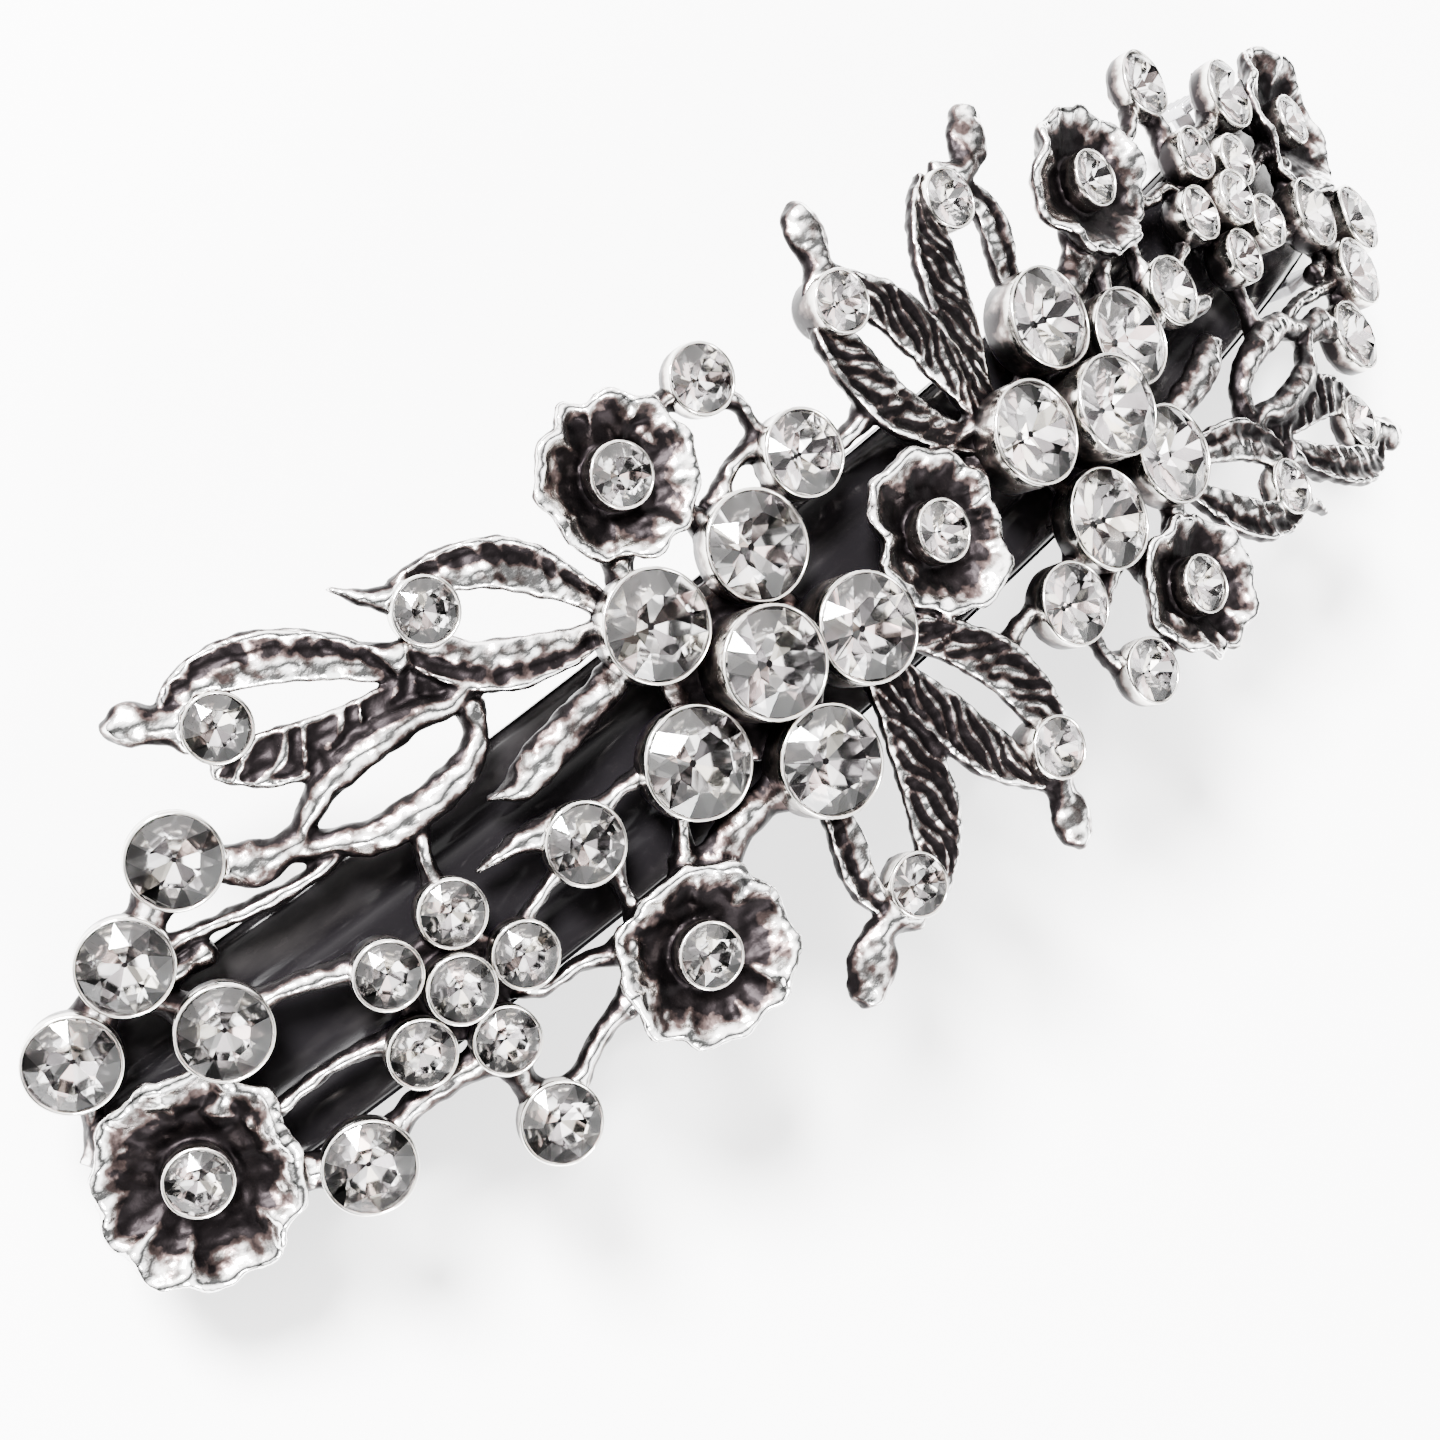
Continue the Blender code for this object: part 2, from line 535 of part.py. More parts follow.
def make_loop(mat):
    """Open loop that snaps over the lugs, on a tongue welded under the arm's end."""
    loop = add_object("catch_loop", box(*LOOP))
    combine(loop, [add_object("tool", box(*LOOP_TONGUE))], "UNION")
    combine(loop, [add_object("cut", box(*LOOP_WINDOW))], "DIFFERENCE")
    finish(loop, mat)
    set_origin(loop, (PIN_X, 0.0, PIN_Z))
    return loop


def make_bow(mat):
    """Thin sprung strip that presses the hair against the arm."""
    radius = (BOW_HALF_LENGTH ** 2 + BOW_RISE ** 2) / (2 * BOW_RISE)
    bow = add_object("tension_bow", arc_strip(radius, BOW_TOP - radius, BOW_THICK, BOW_HALF_WIDTH,
                                              -BOW_HALF_LENGTH, BOW_HALF_LENGTH, 20))
    finish(bow, mat)
    set_origin(bow, (0.0, 0.0, BOW_TOP))
    return bow


def make_lug(name, side, mat):
    """Squeeze lug: finger ear outside the plate, bridge under it and a leg inside the arm's loop."""
    def side_box(x_from, x_to, y_near, y_far, z_from, z_to):
        y_low, y_high = sorted((side * y_near, side * y_far))
        return box((x_from, y_low, z_from), (x_to, y_high, z_to))
    lug = add_object(name, side_box(*LUG_BRIDGE))
    tools = [add_object("tool", side_box(*limits)) for limits in (LUG_LEG, LUG_HOOK, LUG_EAR)]
    combine(lug, tools, "UNION")
    finish(lug, mat)
    set_origin(lug, (LUG_ORIGIN[0], side * LUG_ORIGIN[1], LUG_ORIGIN[2]))
    return lug


def main():
    clear_scene()
    silver = material("antique_silver", (0.62, 0.61, 0.62), 1.0, 0.28)
    stones = {
        "big": material("crystal_big", (0.86, 0.85, 0.86), 0.0, 0.05),
        "round": material("crystal_round", (0.84, 0.83, 0.85), 0.0, 0.05),
        "small": material("crystal_small", (0.88, 0.86, 0.85), 0.0, 0.05),
    }
    lacquer = material("black_lacquer", (0.02, 0.019, 0.021), 0.3, 0.22)
    steel = material("nickel_steel", (0.55, 0.55, 0.56), 1.0, 0.3)
    spring = material("spring_steel", (0.42, 0.42, 0.44), 1.0, 0.35)
    pin_steel = material("pin_steel", (0.6, 0.6, 0.61), 1.0, 0.25)
    make_casting(silver)
    make_stones(stones)
    make_plate(lacquer)
    make_pin(pin_steel)
    make_arm(steel)
    make_loop(steel)
    make_bow(spring)
    make_lug("catch_lug_front", 1, spring)
    make_lug("catch_lug_back", -1, spring)
    make_rivet("rivet_near", 1, pin_steel)
    make_rivet("rivet_far", -1, pin_steel)


main()
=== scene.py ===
from math import asin, cos, pi, radians, sin, sqrt

import bpy
import bmesh
import numpy as np
from mathutils import Matrix, Vector
from mathutils.kdtree import KDTree


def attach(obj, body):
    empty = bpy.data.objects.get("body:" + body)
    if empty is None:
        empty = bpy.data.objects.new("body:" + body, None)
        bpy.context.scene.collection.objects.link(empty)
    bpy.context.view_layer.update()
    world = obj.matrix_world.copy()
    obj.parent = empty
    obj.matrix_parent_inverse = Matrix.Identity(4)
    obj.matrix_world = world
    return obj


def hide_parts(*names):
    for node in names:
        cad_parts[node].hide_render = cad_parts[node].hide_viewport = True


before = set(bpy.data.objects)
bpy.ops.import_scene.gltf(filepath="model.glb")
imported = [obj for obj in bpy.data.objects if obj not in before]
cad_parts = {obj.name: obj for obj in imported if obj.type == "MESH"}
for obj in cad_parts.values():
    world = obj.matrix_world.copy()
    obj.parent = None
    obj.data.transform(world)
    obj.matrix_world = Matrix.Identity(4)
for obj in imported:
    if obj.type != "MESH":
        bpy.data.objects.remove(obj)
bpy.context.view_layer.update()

METRES = 0.001
ARCH_RADIUS = 108.8
CROWN_HEIGHT = 17.5

BIG_CUP = 2.6
ROUND_CUP = 2.1
TWIG_CUP = 1.9
SMALL_CUP = 1.55
BEZEL_WALL = 0.16
BIG_CLUSTER = (-12.0, 0.8)
BIG_PITCH = 5.3
BIG_TURN = 54.0
BIG_LIFTS = (0.1, 0.2, 0.1, 0.7, 1.0)
BIG_TOP = 1.5
SMALL_CLUSTER = (-31.2, -2.1)
SMALL_PITCH = 3.15
SMALL_TURN = 60.0
SMALL_LIFTS = (0.1, 0.4, 0.2, 0.0, 0.0)
SMALL_TOP = 0.6
FLOWER_BEZEL = -0.1

VOXEL = 0.13
SMOOTH_ROUNDS = 3
SMOOTH_IN, SMOOTH_OUT = 0.5, 0.42      # each round shrinks the skin a little and swells it back
FINE_ROUNDS = 4
COARSE_ROUNDS = 50
HAMMER = ((0.045, 1.3, 5), (0.028, 0.6, 8))      # height, pitch and seed of the hammered dimples

# Relief: how much each thing brightens the metal. Bright metal is near 1, oxide near 0. The facing-up term
# adds painted light on upward faces, and the flank share darkens the sides with painted shade over the oxide.
FROM_RIDGES = 3.6
FROM_BULK = 1.0
FROM_HEIGHT = 0.18
# painted light: upward faces are brightened as if lit from above
FROM_PAINTED_TOP_LIGHT = 0.4
DEEP_RIDGES, DEEP_SHADE = 7.0, -0.2
SHALLOW_RIDGES, SHALLOW_SHADE = -2.0, 0.16
OVERALL_SHADE = -0.12
# painted shade: faces turned sideways keep only this share of their brightness
FLANK_PAINTED_SHADE = 0.5
UNDERSIDE = 0.5
# Flower bowls are dark within BOWL_DARK of their radius and bright at the brim.
BOWL_DARK = 0.58
BOWL_FADE = 0.25
BOWL_LOW = -0.06
BOWL_HIGH = 0.25

PETALS = 7
# share of the petal's reach, height, share of the rim's wave and rise of the fold between petals
FLOWER_ROWS = (
    (0.2, -2.1, 0.0, 0.0), (0.5, -2.05, 0.0, 0.0), (0.72, -1.75, 0.3, 0.0), (0.9, -1.25, 0.8, 0.0),
    (1.0, -0.85, 1.0, 0.0), (1.05, -0.55, 1.0, 0.2), (1.04, -0.32, 1.0, 0.2), (0.97, -0.24, 1.0, 0.2),
    (0.9, -0.42, 0.95, 0.2), (0.8, -0.68, 0.8, 0.2), (0.68, -0.94, 0.5, 0.16), (0.56, -1.14, 0.3, 0.08),
    (0.42, -1.32, 0.0, 0.0), (0.2, -1.4, 0.0, 0.0),
)

PLATE_TOP = -3.0
PLATE_THICK = 0.8
PLATE_HALF_WIDTH = 5.0
PLATE_HALF_LENGTH = 46.5
PIN_X = -42.0
PIN_Z = 1.9
PIN_RADIUS = 0.55
EAR_INNER = 3.7
EAR_THICK = 0.8
EAR_BEHIND = 1.7
EAR_AHEAD = 2.4
EAR_TOP = 5.5
GROOVE_Y = 2.3
GROOVE_HALF = 0.4
GROOVE_DEPTH = 0.16
EDGE_DROP = 0.25
HOOK_OUTSET = 1.6
HOOK_HALF_THICK = 0.4
HOOK_REACH = 2.8
HOOK_HALF_WIDTH = 1.5
HOOK_LOW, HOOK_HIGH = 5.2, 5.8
END_WALL = ((42.6, -3.6, 0.0), (43.3, 3.6, 5.1))
ARM_RISE = 2.0
ARM_THICK = 0.8
ARM_HALF_WIDTH = 3.0
ARM_START = PIN_X + 1.0
ARM_END = 37.0
ARM_CROWN = 0.18
KNUCKLE_HALF = 3.3
KNUCKLE = ((0.62, 0.0), (1.25, 0.0), (1.4, 0.12), (1.4, 6.48), (1.25, 6.6), (0.62, 6.6))
BOW_TOP = 11.4
BOW_RISE = 4.8
BOW_HALF_LENGTH = 34.0
BOW_THICK = 0.4
BOW_HALF_WIDTH = 2.5
PIN_END = 4.9
PIN_PROFILE = ((0.2, -0.12), (0.45, -0.05), (PIN_RADIUS, 0.1), (PIN_RADIUS, 9.7), (0.45, 9.85), (0.2, 9.92))
RIVET_GAP = 0.25
RIVET_TOP = -1.6
# radius and drop of each ring of a rivet's head, from the bottom up
RIVET_HEAD = ((0.35, 0.62), (0.9, 0.52), (1.25, 0.3), (1.4, 0.05), (1.35, 0.0), (0.7, 0.0))
# catch loop: two cross bars, two side bars and the tongue, as low corner, high corner and edge radius
LOOP_BARS = (
    ((37.4, -3.4, 1.55), (38.45, 3.4, 2.45), 0.2),
    ((41.35, -3.4, 1.55), (42.2, 3.4, 2.45), 0.2),
    ((37.6, 2.55, 1.57), (42.0, 3.39, 2.43), 0.2),
    ((37.6, -3.39, 1.57), (42.0, -2.55, 2.43), 0.2),
    ((33.8, -2.0, 1.05), (38.0, 2.0, 1.68), 0.18),
)
# squeeze lug: bridge, leg, hook and ear, as y near and far, x from and to, z from and to
LUG_BLOCKS = (
    (1.5, 6.2, 39.5, 40.8, 3.7, 4.2),
    (1.4, 1.9, 39.6, 40.9, 0.9, 4.15),
    (1.6, 2.25, 39.7, 40.8, 0.6, 1.1),
    (5.8, 6.4, 38.8, 41.4, 2.4, 5.8),
)
LUG_RIBS = 5
LUG_RIB = (6.2, 6.5, 39.1, 41.1)
LUG_RIB_LOW, LUG_RIB_PITCH, LUG_RIB_TALL = 2.9, 0.6, 0.3
SHARP_EDGE = radians(50)

# name, u, v, rim height, outer radius of the single cups on the near half
SINGLE_CUPS = (
    ("shoulder_1", -37.5, 9.2, -0.5, ROUND_CUP),
    ("shoulder_2", -41.6, 6.9, -0.1, ROUND_CUP),
    ("shoulder_3", -45.6, 4.9, 0.0, ROUND_CUP),
    ("inner", -40.0, 2.3, 0.0, ROUND_CUP),
    ("corner", -38.6, -6.1, -0.3, ROUND_CUP),
    ("edge", -31.0, -9.8, -0.6, TWIG_CUP),
    ("twig", -23.1, -0.7, -0.6, TWIG_CUP),
    ("vine_1", -6.4, 12.4, -0.3, 1.7),
    ("vine_2", -4.2, 7.0, 0.0, ROUND_CUP),
    ("leaf_1", -32.9, 12.6, -0.7, SMALL_CUP),
    ("leaf_2", -23.0, 11.5, -0.5, SMALL_CUP),
    ("leaf_3", -11.4, -11.9, -0.2, SMALL_CUP),
    ("leaf_4", -1.6, -11.4, 0.6, SMALL_CUP),
)

# u, v, radius, turn in degrees; the first is the middle flower
FLOWERS = (
    (0.0, 0.0, 3.8, 20.0),
    (-44.5, -2.2, 4.4, 10.0),
    (-21.5, -8.0, 4.0, 35.0),
    (-12.4, 11.2, 3.7, 0.0),
)

# Leaf blades: how far their veins lean, the outer side, vein depth, and (u, v, h, width) along the middle.
BLADES = (
    (0.5, 1, 0.045, ((-34.6, 13.6, -1.3, 0.9), (-33.4, 14.5, -1.1, 1.4), (-31.6, 14.6, -0.9, 1.8),
      (-29.6, 13.8, -0.8, 2.0), (-27.8, 12.6, -0.9, 1.8), (-26.2, 11.1, -1.1, 1.4),
      (-25.0, 10.0, -1.3, 1.0))),
    (-0.55, -1, 0.12, ((-34.0, 11.4, -1.3, 1.0), (-32.6, 10.6, -1.1, 1.8), (-31.2, 10.0, -0.9, 2.1),
      (-29.6, 9.6, -0.9, 1.9), (-28.0, 9.4, -1.0, 1.6), (-26.4, 9.2, -1.1, 1.3),
      (-24.2, 8.9, -1.3, 1.0))),
    (0.5, 1, 0.05, ((-23.6, 12.9, -1.2, 0.9), (-21.6, 12.5, -1.0, 1.5), (-19.9, 11.8, -0.8, 1.9),
      (-18.6, 10.8, -0.8, 2.0), (-17.7, 9.7, -0.9, 1.8), (-16.8, 8.3, -1.1, 1.3),
      (-16.2, 7.2, -1.3, 1.0))),
    (-0.5, -1, 0.04, ((-24.6, 10.7, -1.2, 1.0), (-23.8, 9.7, -1.0, 1.6), (-22.8, 8.6, -0.9, 1.9),
      (-21.5, 7.6, -0.8, 2.0), (-20.0, 7.0, -0.9, 1.8), (-18.5, 6.5, -1.1, 1.4),
      (-16.9, 6.2, -1.3, 1.0))),
    (0.6, -1, 0.05, ((-12.3, -5.8, -1.2, 1.0), (-12.7, -7.4, -0.9, 1.4), (-13.2, -8.9, -0.7, 1.6),
      (-13.5, -10.3, -0.7, 1.4), (-13.2, -11.8, -0.9, 1.0))),
    (-1.7, 1, 0.10, ((-6.9, -2.6, -1.1, 1.2), (-7.0, -4.6, -0.8, 1.8), (-7.6, -6.8, -0.6, 2.3),
      (-8.2, -8.9, -0.5, 2.5), (-9.0, -10.7, -0.6, 2.3), (-10.0, -12.2, -0.8, 1.6),
      (-11.4, -13.3, -1.0, 0.9))),
    (1.8, -1, 0.09, ((-6.3, -2.2, -1.1, 1.1), (-6.1, -4.0, -0.8, 1.6), (-5.6, -6.1, -0.5, 2.1),
      (-5.0, -8.2, -0.3, 2.3), (-4.2, -10.0, -0.3, 2.1), (-3.2, -11.5, -0.4, 1.5),
      (-2.4, -12.6, -0.5, 1.0))),
    (-1.5, 1, 0.08, ((-4.9, -2.1, -1.1, 1.1), (-3.0, -4.0, -0.8, 1.7), (-1.7, -5.8, -0.5, 2.2),
      (-1.0, -7.7, -0.3, 2.3), (-0.7, -9.6, -0.3, 2.0), (-0.6, -11.2, -0.4, 1.2))),
)

# Smooth stems, lips, tips and thorns as (u, v, h, width).
STEMS = (
    # leaf tips
    ((-33.6, 13.2, -1.2, 1.4), (-34.9, 14.2, -1.1, 1.3), (-35.8, 14.8, -1.1, 1.6),
     (-36.6, 15.2, -1.2, 0.8)),
    ((-23.4, 12.3, -1.1, 1.2), (-24.6, 13.3, -1.2, 0.8), (-25.8, 14.6, -1.5, 0.25)),
    ((-25.0, 10.4, -1.2, 1.1), (-26.0, 11.7, -1.3, 0.7), (-27.3, 13.3, -1.6, 0.2)),
    ((-12.2, -12.4, -0.9, 1.6), (-13.8, -12.5, -0.9, 1.2), (-15.2, -13.4, -0.9, 2.1),
     (-16.3, -14.5, -1.1, 1.5), (-16.6, -14.8, -1.1, 0.8)),
    ((-1.9, -12.2, -0.4, 1.5), (-2.3, -13.5, -0.4, 1.2), (-2.6, -14.7, -0.4, 1.9),
     (-2.8, -15.7, -0.5, 1.4), (-2.9, -16.1, -0.5, 0.7)),
    # slit pod
    ((-33.4, 6.5, -1.4, 0.9), (-31.3, 7.8, -1.0, 1.1), (-29.8, 8.2, -0.8, 1.3), (-27.9, 8.3, -0.8, 1.3),
     (-26.0, 8.2, -0.9, 1.2), (-24.5, 7.7, -1.1, 1.0), (-23.2, 8.0, -1.3, 0.9)),
    ((-33.2, 6.6, -1.4, 0.9), (-31.6, 5.8, -1.1, 1.1), (-30.4, 5.1, -0.9, 1.3), (-28.7, 4.9, -0.8, 1.4),
     (-27.0, 4.9, -0.8, 1.3), (-25.4, 5.2, -0.9, 1.2), (-24.2, 5.9, -1.1, 1.0), (-23.6, 7.2, -1.3, 0.9)),
    ((-32.8, 6.8, -1.3, 0.9), (-34.0, 6.9, -1.1, 1.2), (-35.1, 7.2, -1.0, 1.7), (-36.0, 7.9, -1.1, 1.2),
     (-36.9, 8.8, -1.3, 0.9)),
    # vine and spur
    ((-40.6, 6.5, -1.5, 1.1), (-39.1, 6.3, -1.4, 0.8), (-36.2, 5.7, -1.2, 0.8), (-33.9, 5.3, -1.2, 0.75),
     (-31.6, 5.4, -1.2, 0.7)),
    ((-40.8, 5.4, -1.6, 0.9), (-38.6, 5.3, -1.5, 0.9)),
    # between the end cups and the end flower
    ((-38.6, 8.6, -1.5, 1.3), (-40.6, 7.4, -1.5, 1.3)),
    ((-42.6, 6.4, -1.5, 1.4), (-44.6, 5.4, -1.5, 1.4)),
    ((-45.8, 3.8, -1.5, 1.1), (-46.4, 2.4, -1.3, 0.9), (-46.9, 0.8, -1.2, 1.3)),
    ((-42.0, 5.6, -1.7, 1.0), (-40.8, 3.6, -1.7, 1.0)),
    ((-40.4, 1.2, -1.5, 1.1), (-41.4, 0.2, -1.4, 1.0), (-42.2, -0.6, -1.4, 1.2)),
    ((-41.9, -4.2, -1.4, 1.6), (-40.6, -5.0, -1.3, 1.3), (-39.4, -5.8, -1.4, 1.3)),
    # bars to the small cluster
    ((-38.6, 2.3, -1.5, 0.9), (-37.2, 2.1, -1.3, 0.9), (-35.6, 1.6, -1.2, 1.0), (-34.0, 0.9, -1.3, 0.9)),
    ((-41.6, -1.8, -1.4, 1.0), (-40.0, -1.9, -1.3, 0.8), (-37.6, -1.8, -1.3, 0.7),
     (-35.4, -2.2, -1.3, 0.9), (-34.4, -2.8, -1.4, 1.0)),
    ((-37.6, -5.9, -1.5, 1.2), (-35.9, -5.4, -1.4, 1.0), (-34.0, -5.4, -1.4, 1.1),
     (-31.6, -5.6, -1.4, 1.2)),
    # small cluster to its neighbours
    ((-29.5, 1.0, -1.4, 1.1), (-29.2, 2.6, -1.3, 0.8), (-28.7, 4.0, -1.2, 0.9), (-28.4, 4.9, -1.1, 1.0)),
    ((-31.0, -6.0, -1.5, 1.4), (-31.2, -7.6, -1.5, 1.1), (-31.0, -9.0, -1.5, 1.4)),
    ((-28.8, -2.4, -1.5, 1.0), (-27.1, -1.8, -1.4, 0.8), (-25.6, -1.3, -1.4, 0.7),
     (-24.0, -0.9, -1.5, 1.0)),
    ((-28.9, -3.8, -1.5, 1.0), (-28.2, -4.7, -1.4, 0.8), (-26.1, -4.9, -1.3, 0.8),
     (-24.0, -5.8, -1.4, 1.1)),
    ((-30.2, -9.4, -1.5, 1.1), (-28.6, -8.6, -1.4, 0.9), (-27.0, -7.9, -1.4, 0.9),
     (-24.6, -7.5, -1.4, 1.2)),
    # wavy leaf, drop, twig cup and big cluster to the second flower
    ((-17.4, 4.2, -1.4, 1.0), (-19.5, 3.9, -1.1, 1.4), (-21.0, 3.7, -0.9, 1.5), (-22.9, 3.3, -1.0, 1.6),
     (-24.0, 3.0, -1.2, 1.2), (-25.3, 3.3, -1.5, 0.3)),
    ((-23.6, 0.3, -1.4, 1.2), (-25.1, 1.0, -1.2, 1.1), (-26.3, 1.1, -1.3, 0.7), (-27.6, 1.1, -1.6, 0.2)),
    ((-22.2, -0.2, -1.5, 1.1), (-20.4, 0.1, -1.4, 0.8), (-18.4, -0.1, -1.4, 1.1)),
    ((-22.4, -2.0, -1.6, 1.0), (-22.7, -3.4, -1.5, 0.7), (-23.0, -5.2, -1.4, 1.0)),
    ((-18.0, -1.6, -1.5, 1.0), (-18.8, -2.8, -1.5, 0.8), (-20.0, -4.8, -1.4, 1.1)),
    ((-13.4, -4.6, -1.4, 1.5), (-15.2, -4.4, -1.3, 1.4), (-17.2, -4.7, -1.4, 1.6),
     (-19.2, -5.6, -1.4, 1.7)),
    # third flower and the vine to the middle
    ((-14.0, 8.8, -1.4, 1.4), (-14.6, 7.6, -1.5, 1.1), (-15.0, 6.0, -1.5, 1.4)),
    ((-10.8, 8.8, -1.4, 1.3), (-10.2, 7.8, -1.5, 1.0), (-9.6, 6.4, -1.5, 1.4)),
    ((-10.2, 12.0, -1.3, 1.3), (-8.6, 12.5, -1.3, 0.9), (-7.0, 12.3, -1.4, 1.2)),
    ((-5.8, 11.6, -1.4, 1.1), (-5.0, 10.4, -1.3, 0.8), (-5.0, 9.2, -1.3, 0.8), (-4.5, 7.8, -1.4, 1.1)),
    ((-5.0, 6.6, -1.5, 1.3), (-6.6, 5.9, -1.4, 1.0), (-8.0, 5.4, -1.4, 1.3)),
    ((-5.4, 8.4, -1.4, 0.9), (-7.2, 8.3, -1.4, 0.8), (-8.8, 7.2, -1.5, 1.1)),
    # middle flower to the big cluster, the fourth leaf and the far vine cup
    ((-2.2, -0.6, -1.5, 1.6), (-4.4, -0.9, -1.4, 1.2), (-6.2, -0.8, -1.3, 1.6)),
    ((-1.8, -2.2, -1.5, 1.4), (-3.6, -2.7, -1.3, 1.1), (-5.2, -2.6, -1.2, 1.2), (-7.0, -2.2, -1.2, 1.5)),
    ((3.6, -6.6, -1.4, 1.2), (2.2, -6.2, -1.2, 0.9), (0.6, -6.3, -1.0, 1.0), (-1.2, -6.8, -0.8, 1.2)),
)
# Discs that carry the clusters and the bosses under them, as middle, radius, low and high.
DISCS = (
    (BIG_CLUSTER, 4.2, -1.9, -1.3),
    (BIG_CLUSTER, 1.9, PLATE_TOP + 0.3, -0.6),
    (SMALL_CLUSTER, 2.5, -1.8, -1.1),
    (SMALL_CLUSTER, 1.2, PLATE_TOP + 0.3, -0.8),
)
STEM_THICK = 1.35
STEM_SWELL = 0.25
STEM_WIDE = 0.8        # a stem swells where it is wider than this
STEM_FADE = 0.4
FLARED_END = 0.9
FLARE = 0.5
FLARE_REACH = 0.8
BLADE_SWELL = 1.18
VEIN_PITCH = 1.3
VEIN_SLANT = 0.95
VEIN_WANDER = 0.22
DEEP_VEIN = 0.12
BLADE_CROWN = 0.34
# height, place across the blade and width of its outer rim, inner rim and middle channel
OUTER_RIM = (0.2, 0.84, 0.13)
INNER_RIM = (0.1, -0.88, 0.12)
CHANNEL = (-0.3, 0.25, 0.3)


# ---- arrays and meshes -----------------------------------------------------------------------------
def smooth_noise(points, scale, seed):
    """Soft repeatable noise from a few crossed waves, about -1 to 1."""
    picks = np.random.default_rng(seed)
    total = np.zeros(len(points))
    for _ in range(7):
        direction = picks.normal(size=3)
        direction /= np.linalg.norm(direction)
        pitch = scale * picks.uniform(0.7, 1.6)
        total += np.sin(points @ direction * (2 * pi / pitch) + picks.uniform(0, 2 * pi))
    return total / 3.0


def bend(points):
    """Flat layout points, as rows of u, v, h in millimetres, wrapped round the arch in metres."""
    points = np.asarray(points, dtype=float)
    angle = points[:, 0] / ARCH_RADIUS
    reach = ARCH_RADIUS + points[:, 2]
    return np.column_stack((reach * np.sin(angle), points[:, 1],
                            reach * np.cos(angle) - ARCH_RADIUS + CROWN_HEIGHT)) * METRES


def spline(stations, per_span):
    """Catmull-Rom points through stations."""
    p = np.array(stations, dtype=float)
    p = np.vstack((2 * p[0] - p[1], p, 2 * p[-1] - p[-2]))
    out = []
    for k in range(1, len(p) - 2):
        for t in np.linspace(0, 1, per_span, endpoint=False):
            a, b, c, d = p[k - 1], p[k], p[k + 1], p[k + 2]
            out.append(0.5 * ((2 * b) + (c - a) * t + (2 * a - 5 * b + 4 * c - d) * t * t
                              + (3 * b - a - 3 * c + d) * t ** 3))
    out.append(p[-2])
    return np.array(out)


def skin(rows):
    """Closed solid through rings of equal counts, capped by a middle point at each end."""
    rows = np.asarray(rows, dtype=float)
    steps, count = rows.shape[0], rows.shape[1]
    points = rows.reshape(-1, 3)
    first, last = len(points), len(points) + 1
    points = np.vstack((points, rows[0].mean(axis=0), rows[-1].mean(axis=0)))
    faces = []
    for i in range(steps - 1):
        for k in range(count):
            n = (k + 1) % count
            faces.append((i * count + k, i * count + n, (i + 1) * count + n, (i + 1) * count + k))
    top = (steps - 1) * count
    for k in range(count):
        n = (k + 1) % count
        faces.append((n, k, first))
        faces.append((top + k, top + n, last))
    return points, faces


def half_turn(points):
    return points * np.array((-1.0, -1.0, 1.0))


class Shells:
    """Collects closed shells into one mesh."""

    def __init__(self):
        self.points, self.faces, self.count = [], [], 0

    def add(self, solid, twin=True):
        points, faces = solid
        self._put(points, faces)
        if twin:
            self._put(half_turn(points), faces)

    def _put(self, points, faces):
        self.points.append(points)
        self.faces += [tuple(i + self.count for i in face) for face in faces]
        self.count += len(points)

    def mesh(self, name):
        mesh = bpy.data.meshes.new(name)
        mesh.from_pydata(np.vstack(self.points).tolist(), [], self.faces)
        return mesh


def add_piece(name, mesh, mat, body, smooth=True):
    mesh.materials.clear()
    mesh.materials.append(mat)
    if smooth:
        mesh.shade_smooth()
    piece = bpy.data.objects.new(name, mesh)
    bpy.context.scene.collection.objects.link(piece)
    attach(piece, body)
    return piece


# ---- shapes of the casting ---------------------------------------------------------------------------
def stem(stations, sides=16):
    """Rounded stem with a soft upper ridge and closed, tapered ends."""
    path = spline(stations, 7)
    along = np.gradient(path[:, :2], axis=0)
    along /= np.linalg.norm(along, axis=1)[:, None]
    rows = []
    ring = np.linspace(0, 2 * pi, sides, endpoint=False)
    path[:, 3] *= 1.0 + STEM_SWELL * np.clip((path[:, 3] - STEM_WIDE) / STEM_FADE, 0, 1)
    for end in (0, -1):
        if stations[end][3] >= FLARED_END:
            away = np.linalg.norm(path[:, :2] - path[end, :2], axis=1)
            path[:, 3] *= 1.0 + FLARE * np.exp(-(away / FLARE_REACH) ** 2)
    out = np.sign(np.cos(ring)) * np.abs(np.cos(ring)) ** 1.2
    up = np.sign(np.sin(ring)) * np.abs(np.sin(ring)) ** 1.15
    for k, (u, v, h, width) in enumerate(path):
        side = np.array((-along[k, 1], along[k, 0], 0.0))
        thick = min(STEM_THICK, 0.45 + 0.7 * width)
        rows.append(np.array((u, v, h)) + np.outer(out * width / 2, side)
                    + np.outer(up * thick / 2, (0, 0, 1)))
    caps = []
    for end, way in ((0, -1), (-1, 1)):
        middle = rows[end].mean(axis=0)
        step = np.append(along[end] * path[end, 3] * 0.22, 0.0)
        caps.append(middle + (rows[end] - middle) * 0.5 + way * step)
    return skin([caps[0]] + rows + [caps[1]])


